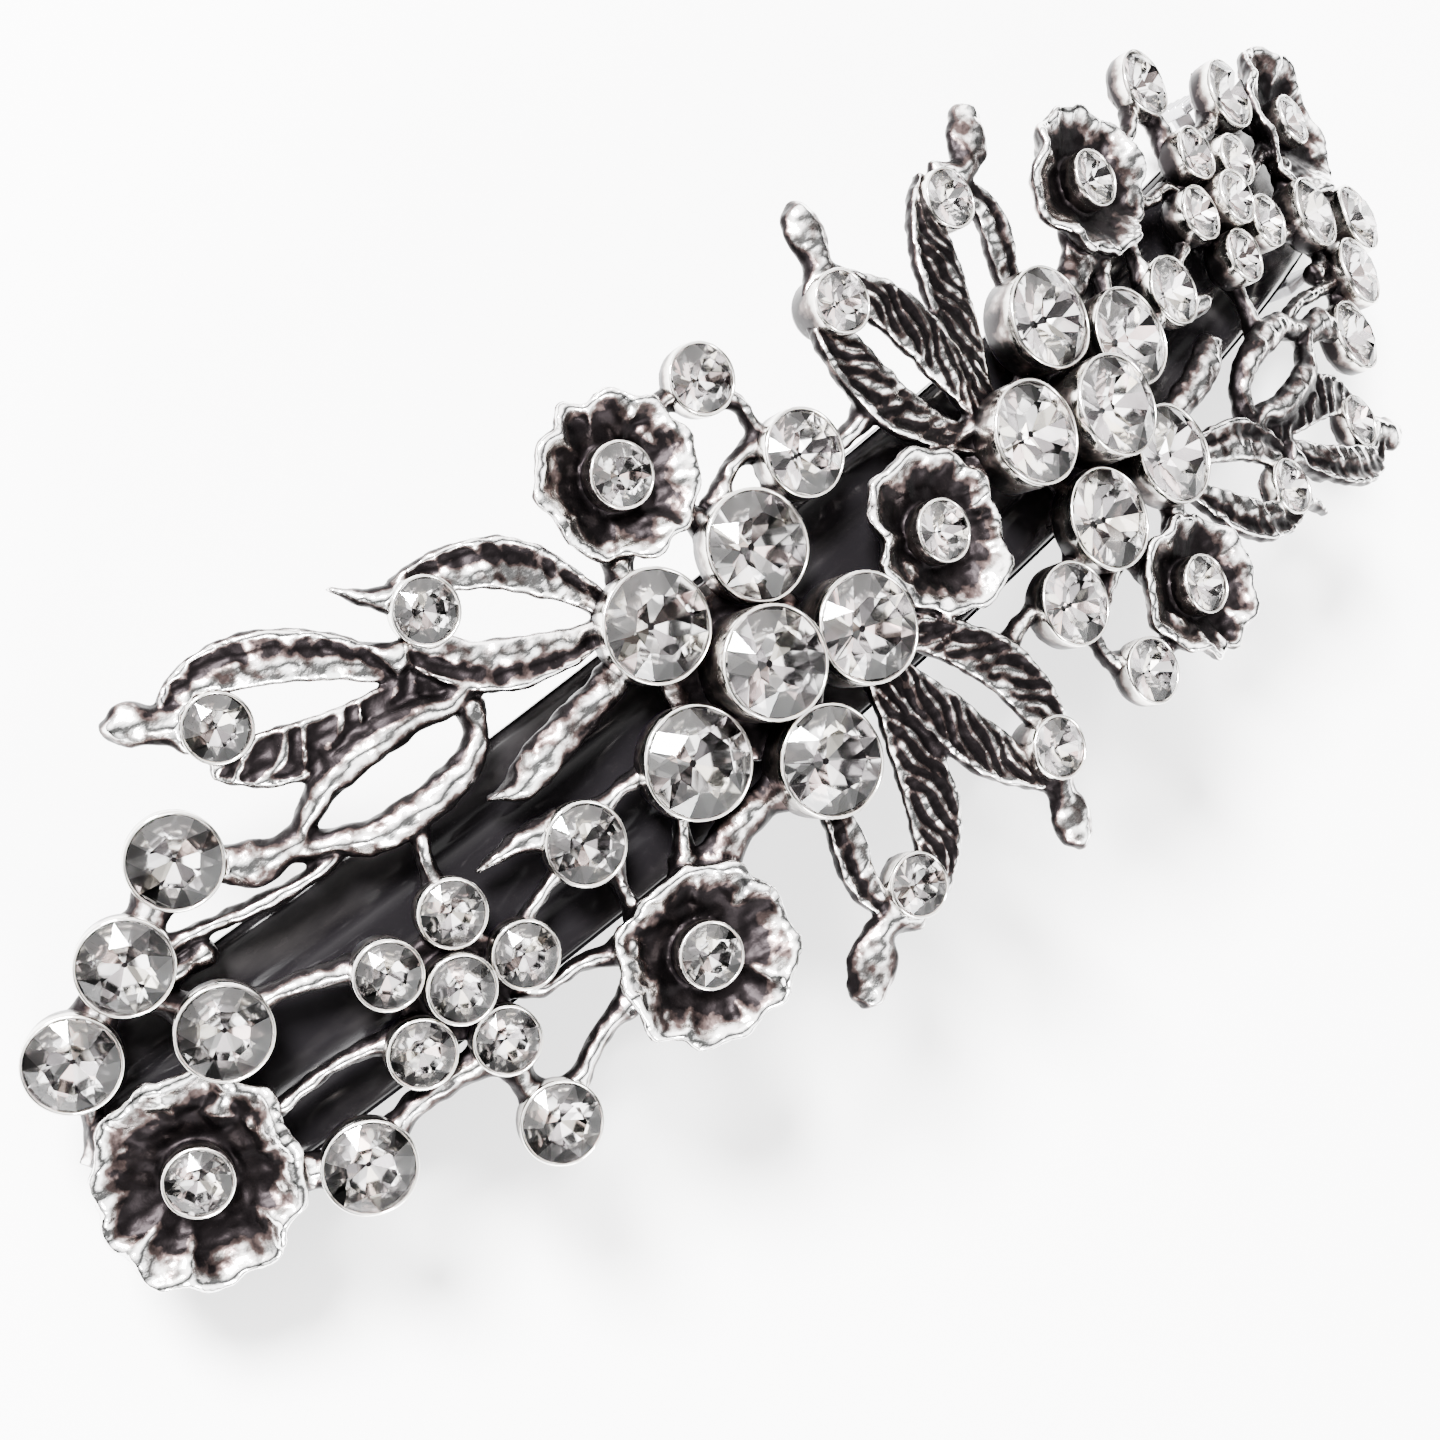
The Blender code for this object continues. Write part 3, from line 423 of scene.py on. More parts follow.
def blade(lean, outer, depth, stations, across=22):
    """Leaf blade: rounded underside, raised edges and slanting veins on top."""
    path = spline(stations, 12)
    along = np.gradient(path[:, :2], axis=0)
    run = np.concatenate(([0.0], np.cumsum(np.linalg.norm(np.diff(path[:, :2], axis=0), axis=1))))
    along /= np.linalg.norm(along, axis=1)[:, None]
    t = np.linspace(-1, 1, across)

    def ridge(height, place, width):
        return height * np.exp(-((outer * t - place) / width) ** 2)
    crown = BLADE_CROWN * (1 - t ** 2) ** 0.5 + ridge(*OUTER_RIM) + ridge(*INNER_RIM)
    crown += max(0.0, 1 - depth / DEEP_VEIN) * ridge(*CHANNEL)
    path[:, 3] *= BLADE_SWELL
    rows = []
    for k, (u, v, h, width) in enumerate(path):
        side = np.array((-along[k, 1], along[k, 0], 0.0))
        phase = run[k] / VEIN_PITCH + VEIN_WANDER * sin(2.3 * run[k] + 4 * lean) + lean * VEIN_SLANT * t
        veins = depth * (2 * np.abs(np.sin(pi * phase)) ** 0.6 - 1) * (1 - t ** 6) * min(width / 1.6, 1)
        top = np.array((u, v, h)) + np.outer(t * width / 2, side) + np.outer(crown - veins, (0, 0, 1))
        low = np.array((u, v, h)) + np.outer(t[::-1] * width / 2 * 0.97, side)
        low[:, 2] -= 0.15 + 0.5 * (1 - t ** 2) ** 0.5
        rows.append(np.vstack((top[::-1], low[::-1])))
    return skin(rows)


def flower(u, v, radius, turn, seed):
    """Wavy bowl of seven uneven petals, with a rolled rim and raised folds between the petals."""
    spin = radians(turn)
    picks = np.random.default_rng(seed)
    angle = np.linspace(0, 2 * pi, 126, endpoint=False)

    def ripple(height, count):
        return height * np.sin(count * angle + picks.uniform(0, 6))
    swing = angle + ripple(0.16, 2) + ripple(0.1, 3)
    wave = np.abs(np.cos(PETALS / 2 * swing)) ** 0.75
    drift = ripple(0.04, 2) + ripple(0.035, 11)
    reach = radius * (0.95 + 0.06 * wave + drift)
    lift = ripple(0.24, 3) + ripple(0.2, 5)

    def row(share, height, curl, fold):
        r = reach * share
        return np.column_stack((u + r * np.cos(angle + spin), v + r * np.sin(angle + spin),
                                height + curl * lift + fold * (1 - wave)))
    return skin([row(*values) for values in FLOWER_ROWS])


def lathe(u, v, profile, sides):
    """Solid of revolution about the layout's vertical, from (radius, height) pairs."""
    ring = np.linspace(0, 2 * pi, sides, endpoint=False)
    return skin([np.column_stack((u + r * np.cos(ring), v + r * np.sin(ring), np.full(sides, h)))
                 for r, h in profile])


def cup_foot(rim, radius):
    return min(rim - 0.5 * radius - 0.65, -1.9)


def cup_core(u, v, rim, radius):
    """Solid middle of a cup, up to just under its stone."""
    foot = cup_foot(rim, radius)
    floor = rim - 0.62 * radius
    return lathe(u, v, ((0.7 * radius, foot), (0.9 * radius, foot + 0.35), (0.95 * radius, floor - 0.1),
                        (0.9 * radius, floor)), 28)


def bezel(u, v, rim, radius, sides, seed):
    """Thin turned wall round a stone with a slightly uneven rounded lip, and its relief values."""
    foot = cup_foot(rim, radius) + 0.25
    inner = radius - BEZEL_WALL
    profile = ((0.88 * radius, foot, 0.0), (0.97 * radius, foot + 0.3, 0.1), (radius, rim - 0.6, 0.4),
               (radius, rim - 0.2, 0.75), (radius - 0.01, rim, 0.95), (radius - 0.07, rim + 0.06, 1.0),
               (inner + 0.04, rim + 0.05, 0.95), (inner, rim - 0.04, 0.5), (inner, rim - 0.2, 0.1),
               (0.86 * inner, rim - 0.62 * radius + 0.05, 0.0))
    points, faces = lathe(u, v, [row[:2] for row in profile], sides)
    share = np.repeat([row[2] for row in profile], sides)
    angle = np.arctan2(points[:, 1] - v, points[:, 0] - u)
    uneven = 0.03 * np.sin(2 * angle + seed) + 0.02 * np.sin(5 * angle + 2.1 * seed)
    lip = np.append(share > 0.7, (False, False))
    points[:, 2] += lip * uneven
    return points, faces, np.append(share, (0.0, 0.0))


def cluster(middle, pitch, turn, lifts, top, radius, name):
    cups = [(name + "_0", middle[0], middle[1], top, radius)]
    for k, lift in enumerate(lifts):
        angle = radians(turn + 72.0 * k)
        u, v = middle[0] + pitch * cos(angle), middle[1] + pitch * sin(angle)
        cups.append((f"{name}_{k + 1}", u, v, lift, radius))
    return cups


def half_cups():
    cups = list(SINGLE_CUPS)
    cups += cluster(BIG_CLUSTER, BIG_PITCH, BIG_TURN, BIG_LIFTS, BIG_TOP, BIG_CUP, "big")
    cups += cluster(SMALL_CLUSTER, SMALL_PITCH, SMALL_TURN, SMALL_LIFTS, SMALL_TOP, SMALL_CUP, "small")
    return cups


def all_seats():
    """u, v, rim height and outer radius of every cup on the near half and of every flower's middle."""
    return [place[1:] for place in half_cups()] + [(u, v, FLOWER_BEZEL, SMALL_CUP) for u, v, _, _ in FLOWERS]


def set_relief(mesh, values):
    attribute = mesh.attributes.new("relief", "FLOAT", "POINT")
    attribute.data.foreach_set("value", values.astype(np.float32))


def voxel_union(mesh, voxel):
    """One smooth-skinned union of overlapping shells."""
    source = bpy.data.objects.new("shells", mesh)
    bpy.context.scene.collection.objects.link(source)
    step = source.modifiers.new("union", "REMESH")
    step.mode = "VOXEL"
    step.voxel_size = voxel
    bpy.context.view_layer.update()
    evaluated = source.evaluated_get(bpy.context.evaluated_depsgraph_get())
    result = bpy.data.meshes.new_from_object(evaluated)
    bpy.data.objects.remove(source)
    bpy.data.meshes.remove(mesh)
    return result


def mesh_points(mesh):
    flat = np.empty(len(mesh.vertices) * 3)
    mesh.vertices.foreach_get("co", flat)
    return flat.reshape(-1, 3)


def mesh_edges(mesh):
    flat = np.empty(len(mesh.edges) * 2, dtype=np.int64)
    mesh.edges.foreach_get("vertices", flat)
    return flat.reshape(-1, 2)


def neighbour_mean(values, edges, degree):
    total = np.zeros_like(values)
    for axis in range(values.shape[1]):
        total[:, axis] = (np.bincount(edges[:, 0], values[edges[:, 1], axis], len(values))
                          + np.bincount(edges[:, 1], values[edges[:, 0], axis], len(values)))
    return total / degree[:, None]


def relief_of(points, normals, edges, degree):
    """How far each point stands out from the metal round it: about 1 on ridges, 0 in hollows, with painted
    light on upward faces and painted shade down the sides.
    """
    fine = points.copy()
    for _ in range(FINE_ROUNDS):
        fine = neighbour_mean(fine, edges, degree)
    coarse = fine.copy()
    for _ in range(COARSE_ROUNDS):
        coarse = neighbour_mean(coarse, edges, degree)
    small = ((points - fine) * normals).sum(axis=1)
    large = ((points - coarse) * normals).sum(axis=1)
    height = np.clip((points[:, 2] + 1.9) / 1.6, 0, 1)
    bowl = np.zeros(len(points))
    for u, v, radius, _ in FLOWERS:
        for side in (1, -1):
            away = np.hypot(points[:, 0] - side * u, points[:, 1] - side * v)
            inside = (away > SMALL_CUP) & (away < 1.1 * radius)
            brim = np.clip((away / radius - BOWL_DARK) / BOWL_FADE, 0, 1)
            bowl = np.where(inside, BOWL_LOW + (BOWL_HIGH - BOWL_LOW) * brim, bowl)
    # painted light: faces turned upwards are brightened
    painted_top_light = np.clip((normals[:, 2] - 0.5) / 0.5, 0, 1)
    veined, shallow = blade_share(points)
    # painted shade: faces turned sideways are darkened, on top of the oxide
    painted_flank_shade = FLANK_PAINTED_SHADE + (1 - FLANK_PAINTED_SHADE) * np.clip((normals[:, 2] - 0.1) / 0.65, 0, 1)
    upper = FROM_RIDGES * small + FROM_BULK * large + FROM_HEIGHT * height + FROM_PAINTED_TOP_LIGHT * painted_top_light + bowl
    upper += OVERALL_SHADE + veined * (DEEP_RIDGES * small + DEEP_SHADE)
    upper += shallow * (SHALLOW_RIDGES * small + SHALLOW_SHADE)
    upper = painted_flank_shade * np.clip(upper, 0, 1)
    under = np.clip((-normals[:, 2] - 0.3) / 0.5, 0, 1)
    return upper + (UNDERSIDE - upper) * under


def blade_share(points):
    """How far each point lies on a deep-veined and on a shallow leaf blade, falling to 0 just outside."""
    runs = [spline(leaf[-1], 6) for leaf in BLADES]
    paths = np.vstack(runs)
    paths = np.vstack((paths, paths * np.array((-1.0, -1.0, 1.0, 1.0))))
    depth = np.concatenate([np.full(len(run), leaf[2] / DEEP_VEIN) for run, leaf in zip(runs, BLADES)] * 2)
    tree = KDTree(len(paths))
    for k, (u, v, _, _) in enumerate(paths):
        tree.insert((u, v, 0.0), k)
    tree.balance()
    nearest = [tree.find((u, v, 0.0))[1:] for u, v in points[:, :2].tolist()]
    away = np.array([distance for _, distance in nearest])
    closest = [index for index, _ in nearest]
    reach = BLADE_SWELL * paths[closest, 3] / 2
    inside = np.clip((reach + 0.05 - away) / 0.3, 0, 1)
    return inside * depth[closest], inside * (1 - depth[closest])


def clear_seats(points):
    """Presses metal down where it would stand in a stone's seat."""
    for u, v, rim, radius in all_seats():
        stone = radius - BEZEL_WALL
        for side in (1, -1):
            away = np.hypot(points[:, 0] - side * u, points[:, 1] - side * v)
            limit = rim - PAVILION_DEPTH * np.clip(stone - away, 0, None) - 0.1 * stone - 0.12
            over = (away < radius - 0.02) & (points[:, 2] > limit)
            points[over, 2] = limit[over]


def make_casting(mat):
    """The whole openwork casting as one skin, with its relief values for the metal's colour."""
    shells = Shells()
    for k, (u, v, radius, turn) in enumerate(FLOWERS):
        shells.add(flower(u, v, radius, turn, k + 3), twin=k > 0)
        shells.add(cup_core(u, v, FLOWER_BEZEL, SMALL_CUP), twin=k > 0)
    for _, u, v, rim, radius in half_cups():
        shells.add(cup_core(u, v, rim, radius))
    for leaf in BLADES:
        shells.add(blade(*leaf))
    for stations in STEMS:
        shells.add(stem(stations))
    for (u, v), radius, low, high in DISCS:
        shells.add(lathe(u, v, ((radius * 0.9, low), (radius, low + 0.15), (radius, high - 0.15),
                                (radius * 0.9, high)), 40))
    mesh = voxel_union(shells.mesh("casting_body"), VOXEL)
    points = mesh_points(mesh)
    edges = mesh_edges(mesh)
    degree = np.bincount(edges.ravel(), minlength=len(points)).astype(float)
    for _ in range(SMOOTH_ROUNDS):
        points += SMOOTH_IN * (neighbour_mean(points, edges, degree) - points)
        points -= SMOOTH_OUT * (neighbour_mean(points, edges, degree) - points)
    clear_seats(points)
    mesh.vertices.foreach_set("co", points.ravel())
    mesh.update()
    normals = np.empty(len(points) * 3)
    mesh.vertex_normals.foreach_get("vector", normals)
    normals = normals.reshape(-1, 3)
    relief = relief_of(points, normals, edges, degree)
    dimples = sum(height * smooth_noise(points, pitch, seed) for height, pitch, seed in HAMMER)
    points += normals * dimples[:, None]
    mesh.vertices.foreach_set("co", bend(points).ravel())
    set_relief(mesh, relief)
    piece = add_piece("casting_body", mesh, mat, "frame")
    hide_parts("casting")


def make_bezels(mat):
    """The thin turned walls of all the cups, in one piece."""
    shells = Shells()
    relief = []
    for k, (u, v, rim, radius) in enumerate(all_seats()):
        twin = (u, v) != FLOWERS[0][:2]
        points, faces, values = bezel(u, v, rim, radius, 48 if radius > 1.8 else 36, k)
        shells.add((points, faces), twin)
        relief += [values] * (2 if twin else 1)
    mesh = shells.mesh("stone_cups")
    mesh.vertices.foreach_set("co", bend(mesh_points(mesh)).ravel())
    mesh.update()
    set_relief(mesh, np.concatenate(relief))
    add_piece("stone_cups", mesh, mat, "frame")


# ---- stones ------------------------------------------------------------------------------------------
# a stone's proportions, as shares of its radius
TABLE_SHARE = 0.56
TABLE_HEIGHT = 0.26
GIRDLE = 0.08
PAVILION_DEPTH = 0.6
LOWER_SHARE = 0.42
# Foil tones: copies of one silver foil at different brightness and tint, painted highlights, painted shade
# and painted warm reflections standing in for the light each facet reflects
PAINTED_FOIL_TONES = (
    ("foil_painted_highlight", (0.97, 0.965, 0.96)),
    ("foil_painted_midtone", (0.36, 0.34, 0.35)),
    ("foil_painted_rose_reflection", (0.72, 0.60, 0.58)),
    ("foil_painted_shade", (0.02, 0.018, 0.019)),
    ("foil_painted_warm_reflection", (0.93, 0.89, 0.80)),
)
FOIL_ROUGHNESS = 0.08
# which of the painted foil tones lies under each of the eight kites and of the sixteen triangles
FOIL_KITES = (0, 1, 0, 2, 0, 1, 0, 4)
FOIL_TRIANGLES = (0, 3, 0, 1, 0, 0, 3, 0, 2, 0, 1, 1, 0, 4, 3, 0)


def gem_mesh(name, radius, glass, painted_foils, turn):
    """Cut stone: table and crown facets over a foiled pavilion of eight kites and sixteen triangles, each
    facet's foil given its own painted tone of reflected light and shade.
    """
    def ring(count, share, height, shift):
        angles = [turn + 2 * pi * (k + shift) / count for k in range(count)]
        return [(radius * share * cos(a), radius * share * sin(a), height * radius) for a in angles]
    waist = -GIRDLE - PAVILION_DEPTH * (1 - LOWER_SHARE * cos(pi / 8))
    points = (ring(8, TABLE_SHARE, TABLE_HEIGHT, 0.5) + ring(16, 1.0, 0.0, 0.0) + ring(16, 1.0, -GIRDLE, 0.0)
              + ring(8, LOWER_SHARE, waist, 0.5) + [(0.0, 0.0, -(GIRDLE + PAVILION_DEPTH) * radius)])
    table, girdle, edge, lower, culet = 0, 8, 24, 40, 48
    faces = [tuple(range(table, table + 8))]
    for k in range(8):
        before, after = table + (k - 1) % 8, table + k
        faces.append((before, girdle + 2 * k, after))
        faces.append((after, girdle + 2 * k, girdle + 2 * k + 1))
        faces.append((after, girdle + 2 * k + 1, girdle + (2 * k + 2) % 16))
    for k in range(16):
        n = (k + 1) % 16
        faces.append((girdle + k, edge + k, edge + n, girdle + n))
    crown_count = len(faces)
    for k in range(8):
        faces.append((edge + 2 * k, lower + (k - 1) % 8, culet, lower + k))
    for k in range(8):
        faces.append((edge + 2 * k, lower + k, edge + 2 * k + 1))
        faces.append((edge + 2 * k + 1, lower + k, edge + (2 * k + 2) % 16))
    mesh = bpy.data.meshes.new(name)
    mesh.from_pydata(points, [], faces)
    mesh.materials.append(glass)
    for foil in painted_foils:
        mesh.materials.append(foil)
    bm = bmesh.new()
    bm.from_mesh(mesh)
    bmesh.ops.recalc_face_normals(bm, faces=bm.faces[:])
    bm.faces.ensure_lookup_table()
    for k, face in enumerate(bm.faces):
        face.smooth = False
        if k >= crown_count:
            place = k - crown_count
            order = FOIL_KITES if place < 8 else FOIL_TRIANGLES
            # each pavilion facet takes the painted foil tone of its reflected light and shade
            face.material_index = 1 + order[(place + int(turn * 3)) % len(order)]
    bm.to_mesh(mesh)
    bm.free()
    return mesh


def make_gem(name, u, v, rim, cup_radius, glass, painted_foils, cad_node, tilt):
    radius = cup_radius - BEZEL_WALL
    mesh = gem_mesh(name, radius, glass, painted_foils, tilt * 1.7)
    lean = Matrix.Rotation(0.03 * sin(tilt * 5.1), 4, "X") @ Matrix.Rotation(0.03 * cos(tilt * 3.3), 4, "Y")
    spot = Vector(bend([(u, v, rim)])[0])
    mesh.transform(Matrix.Translation(spot) @ Matrix.Rotation(u / ARCH_RADIUS, 4, "Y") @ lean
                   @ Matrix.Scale(METRES, 4))
    piece = bpy.data.objects.new(name, mesh)
    bpy.context.scene.collection.objects.link(piece)
    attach(piece, "frame")
    if cad_node:
        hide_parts(cad_node)
    return piece


def make_gems(glass, painted_foils):
    number = 0
    for name, u, v, rim, radius in half_cups():
        for side, tag in ((1, "a"), (-1, "b")):
            number += 1
            make_gem(f"gem_{name}_{tag}", side * u, side * v, rim, radius, glass, painted_foils,
                     f"stone_{name}_{tag}", number)
    for k, (u, v, _, _) in enumerate(FLOWERS):
        sides = ((1, "a"), (-1, "b")) if k else ((1, "m"),)
        for side, tag in sides:
            number += 1
            make_gem(f"gem_flower_{k}_{tag}", side * u, side * v, FLOWER_BEZEL, SMALL_CUP, glass, painted_foils,
                     None, number)


# ---- clip ----------------------------------------------------------------------------------------------
def arc_sweep(radius, centre_z, section, x_from, x_to, steps):
    """Section of (y, depth) pairs swept along a circle about the Y axis; depth runs inwards."""
    rows = []
    for k in range(steps + 1):
        x = x_from + (x_to - x_from) * k / steps
        angle = asin(x / radius)
        rows.append([((radius - d) * sin(angle), y, centre_z + (radius - d) * cos(angle))
                     for y, d in section])
    return skin(rows)


def strip_section(half_width, thick, top_shape, count=41):
    """Closed strip section with rounded edges; top_shape gives extra depth at y."""
    ys = np.linspace(-1, 1, count)
    inset = 0.5 * thick
    rounding = inset * np.clip((np.abs(ys) * half_width - half_width + inset) / inset, 0, None) ** 2
    top = [(y * half_width, top_shape(y * half_width) + r) for y, r in zip(ys, rounding)]
    low = [(y * half_width, thick - r + 0.02) for y, r in zip(ys[::-1], rounding[::-1])]
    return list(reversed([*top, *low]))


def to_mesh(name, solids, scale=METRES):
    shells = Shells()
    for solid in solids:
        shells.add(solid, twin=False)
    mesh = shells.mesh(name)
    mesh.transform(Matrix.Scale(scale, 4))
    return mesh


def rounded_box(low, high, radius):
    """Box with bevelled edges, as points and faces in millimetres."""
    bm = bmesh.new()
    bmesh.ops.create_cube(bm, size=1.0)
    size = [b - a for a, b in zip(low, high)]
    for vertex in bm.verts:
        vertex.co = Vector([a + (c + 0.5) * s for a, c, s in zip(low, vertex.co, size)])
    bmesh.ops.bevel(bm, geom=bm.edges[:], offset=radius, segments=3, profile=0.5, affect="EDGES")
    bm.verts.index_update()
    points = np.array([vertex.co[:] for vertex in bm.verts])
    faces = [tuple(vertex.index for vertex in face.verts) for face in bm.faces]
    bm.free()
    return points, faces


def turned_rod(base, axis, profile, sides=40):
    """Solid of revolution along axis from base; profile is (radius, distance) pairs."""
    spin = Vector(axis).to_track_quat("Z", "Y").to_matrix()
    ring = [2 * pi * k / sides for k in range(sides)]
    rows = []
    for r, d in profile:
        rows.append([tuple(Vector(base) + spin @ Vector((r * cos(a), r * sin(a), d))) for a in ring])
    return skin(rows)


def plate_underside(x):
    radius = ARCH_RADIUS + PLATE_TOP - PLATE_THICK
    return CROWN_HEIGHT - ARCH_RADIUS + sqrt(radius * radius - x * x)


def clip_piece(name, solids, mat, body):
    """One piece of the clip, smooth-shaded except at its sharp edges."""
    piece = add_piece(name, to_mesh(name, solids), mat, body)
    piece.data.set_sharp_from_angle(angle=SHARP_EDGE)
    return piece


def make_plate(mat):
    """Lacquered back plate with two shallow grooves, hinge ears, end wall and bow hooks."""
    top = ARCH_RADIUS + PLATE_TOP
    reach = top * sin(PLATE_HALF_LENGTH / ARCH_RADIUS)

    def grooves(y):
        dip = GROOVE_DEPTH * np.exp(-((abs(y) - GROOVE_Y) / GROOVE_HALF) ** 2)
        return dip + EDGE_DROP * (abs(y) / PLATE_HALF_WIDTH) ** 6
    section = strip_section(PLATE_HALF_WIDTH, PLATE_THICK, grooves)
    solids = [arc_sweep(top, CROWN_HEIGHT - ARCH_RADIUS, section, -reach, reach, 120)]
    for side in (1, -1):
        ys = sorted((side * EAR_INNER, side * (EAR_INNER + EAR_THICK)))
        solids.append(rounded_box((PIN_X - EAR_BEHIND, ys[0], 0.0), (PIN_X + EAR_AHEAD, ys[1], EAR_TOP), 0.2))
        hook_x = side * (BOW_HALF_LENGTH + HOOK_OUTSET)
        outer = sorted((hook_x - HOOK_HALF_THICK * side, hook_x + HOOK_HALF_THICK * side))
        ledge = sorted((hook_x - HOOK_REACH * side, hook_x + HOOK_HALF_THICK * side))
        solids.append(rounded_box((outer[0], -HOOK_HALF_WIDTH, HOOK_LOW),
                                  (outer[1], HOOK_HALF_WIDTH, plate_underside(hook_x) + 0.3), 0.12))
        solids.append(rounded_box((ledge[0], -HOOK_HALF_WIDTH, HOOK_LOW),
                                  (ledge[1], HOOK_HALF_WIDTH, HOOK_HIGH), 0.12))
    solids.append(rounded_box(*END_WALL, 0.2))
    piece = clip_piece("clip_plate", solids, mat, "frame")
    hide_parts("back_plate")


def make_arm(mat):
    """Low-arched clasp arm with its hinge knuckle, and the open loop at its free end."""
    half = -PIN_X
    radius = (half * half + ARM_RISE * ARM_RISE) / (2 * ARM_RISE)
    top = PIN_Z + ARM_RISE + ARM_THICK / 2

    def crown(y):
        return ARM_CROWN * (abs(y) / ARM_HALF_WIDTH) ** 2
    section = strip_section(ARM_HALF_WIDTH, ARM_THICK, crown)
    strip = arc_sweep(radius, top - radius, section, ARM_START, ARM_END, 100)
    knuckle = turned_rod((PIN_X, -KNUCKLE_HALF, PIN_Z), (0, 1, 0), KNUCKLE)
    piece = clip_piece("clip_arm", [strip, knuckle], mat, "arm")
    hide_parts("clasp_arm")
    piece = clip_piece("clip_loop", [rounded_box(*bar) for bar in LOOP_BARS], mat, "arm")
    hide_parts("catch_loop")


def make_bow(mat):
    radius = (BOW_HALF_LENGTH ** 2 + BOW_RISE ** 2) / (2 * BOW_RISE)
    strip = arc_sweep(radius, BOW_TOP - radius, strip_section(BOW_HALF_WIDTH, BOW_THICK, lambda y: 0.0),
                      -BOW_HALF_LENGTH, BOW_HALF_LENGTH, 100)
    piece = clip_piece("bow_spring", [strip], mat, "bow")
    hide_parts("tension_bow")


def make_lug(name, side, node, body, mat):
    def side_box(y_near, y_far, x_from, x_to, z_from, z_to):
        ys = sorted((side * y_near, side * y_far))
        return rounded_box((x_from, ys[0], z_from), (x_to, ys[1], z_to), 0.15)
    solids = [side_box(*block) for block in LUG_BLOCKS]
    for k in range(LUG_RIBS):
        z = LUG_RIB_LOW + LUG_RIB_PITCH * k
        solids.append(side_box(*LUG_RIB, z, z + LUG_RIB_TALL))
    piece = clip_piece(name, solids, mat, body)
    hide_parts(node)


def make_pin(mat):
    rod = turned_rod((PIN_X, -PIN_END, PIN_Z), (0, 1, 0), PIN_PROFILE)
    piece = add_piece("pin_rod", to_mesh("pin_rod", [rod]), mat, "frame")
    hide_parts("hinge_pin")


def make_rivet(name, side, node, mat):
    u, v = side * BIG_CLUSTER[0], side * BIG_CLUSTER[1]
    under = PLATE_TOP - PLATE_THICK - RIVET_GAP
    head = tuple((radius, under - drop) for radius, drop in RIVET_HEAD)
    solid = lathe(u, v, head + ((RIVET_HEAD[-1][0], RIVET_TOP),), 40)
    mesh = bpy.data.meshes.new(name)
    mesh.from_pydata(bend(solid[0]).tolist(), [], solid[1])
    piece = add_piece(name, mesh, mat, "frame")
    piece.data.set_sharp_from_angle(angle=SHARP_EDGE)
    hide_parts(node)


# ---- materials -----------------------------------------------------------------------------------------
def new_material(name):
    mat = bpy.data.materials.new(name)
    mat.use_nodes = True
    nodes = mat.node_tree.nodes
    return mat, nodes, mat.node_tree.links, nodes["Principled BSDF"]


def noise(nodes, links, scale, detail, stretch=None):
    """Noise texture on object coordinates in metres, stretched along the axes if wanted."""
    coords = nodes.new("ShaderNodeTexCoord")
    texture = nodes.new("ShaderNodeTexNoise")
    texture.inputs["Scale"].default_value = scale
    texture.inputs["Detail"].default_value = detail
    if stretch:
        mapping = nodes.new("ShaderNodeMapping")
        mapping.inputs["Scale"].default_value = stretch
        links.new(coords.outputs["Object"], mapping.inputs["Vector"])
        links.new(mapping.outputs["Vector"], texture.inputs["Vector"])
    else:
        links.new(coords.outputs["Object"], texture.inputs["Vector"])
    return texture.outputs["Fac"]


def ramp(nodes, links, source, stops):
    node = nodes.new("ShaderNodeValToRGB")
    while len(node.color_ramp.elements) < len(stops):
        node.color_ramp.elements.new(0.5)
    for element, (place, colour) in zip(node.color_ramp.elements, stops):
        element.position = place
        element.color = (*colour, 1.0)
    links.new(source, node.inputs["Fac"])
    return node.outputs["Color"]


def grey(value):
    return (value, value, value)


def bump(nodes, links, source, shader, strength, distance):
    node = nodes.new("ShaderNodeBump")
    node.inputs["Strength"].default_value = strength
    node.inputs["Distance"].default_value = distance
    links.new(source, node.inputs["Height"])
    links.new(node.outputs["Normal"], shader.inputs["Normal"])


def mixed(nodes, links, a, b, weight):
    """a plus weight times (b - 0.5), as one value."""
    node = nodes.new("ShaderNodeMath")
    node.operation = "MULTIPLY_ADD"
    node.inputs[1].default_value = weight
    links.new(b, node.inputs[0])
    links.new(a, node.inputs[2])
    shift = nodes.new("ShaderNodeMath")
    shift.operation = "SUBTRACT"
    shift.inputs[1].default_value = weight * 0.5
    links.new(node.outputs[0], shift.inputs[0])
    return shift.outputs[0]


def cast_silver():
    """Bright where the metal stands out, black oxide in the hollows, with painted light on upward faces and
    painted shade added to the oxide down the sides.
    """
    mat, nodes, links, shader = new_material("antique_silver_cast")
    relief = nodes.new("ShaderNodeAttribute")
    relief.attribute_name = "relief"
    patchy = mixed(nodes, links, relief.outputs["Fac"], noise(nodes, links, 380.0, 3.0), 0.5)
    broken = mixed(nodes, links, patchy, noise(nodes, links, 1300.0, 5.0), 0.8)
    links.new(ramp(nodes, links, broken, ((0.36, (0.007, 0.0058, 0.0062)), (0.47, (0.07, 0.050, 0.047)),
                                          (0.56, (0.36, 0.33, 0.32)), (0.68, (0.95, 0.94, 0.93)))),
              shader.inputs["Base Color"])
    links.new(ramp(nodes, links, broken, ((0.36, grey(0.42)), (0.55, grey(0.2)), (0.8, grey(0.1)))),
              shader.inputs["Roughness"])
    shader.inputs["Metallic"].default_value = 1.0
    bump(nodes, links, noise(nodes, links, 2200.0, 3.0), shader, 0.5, 0.00007)
    return mat


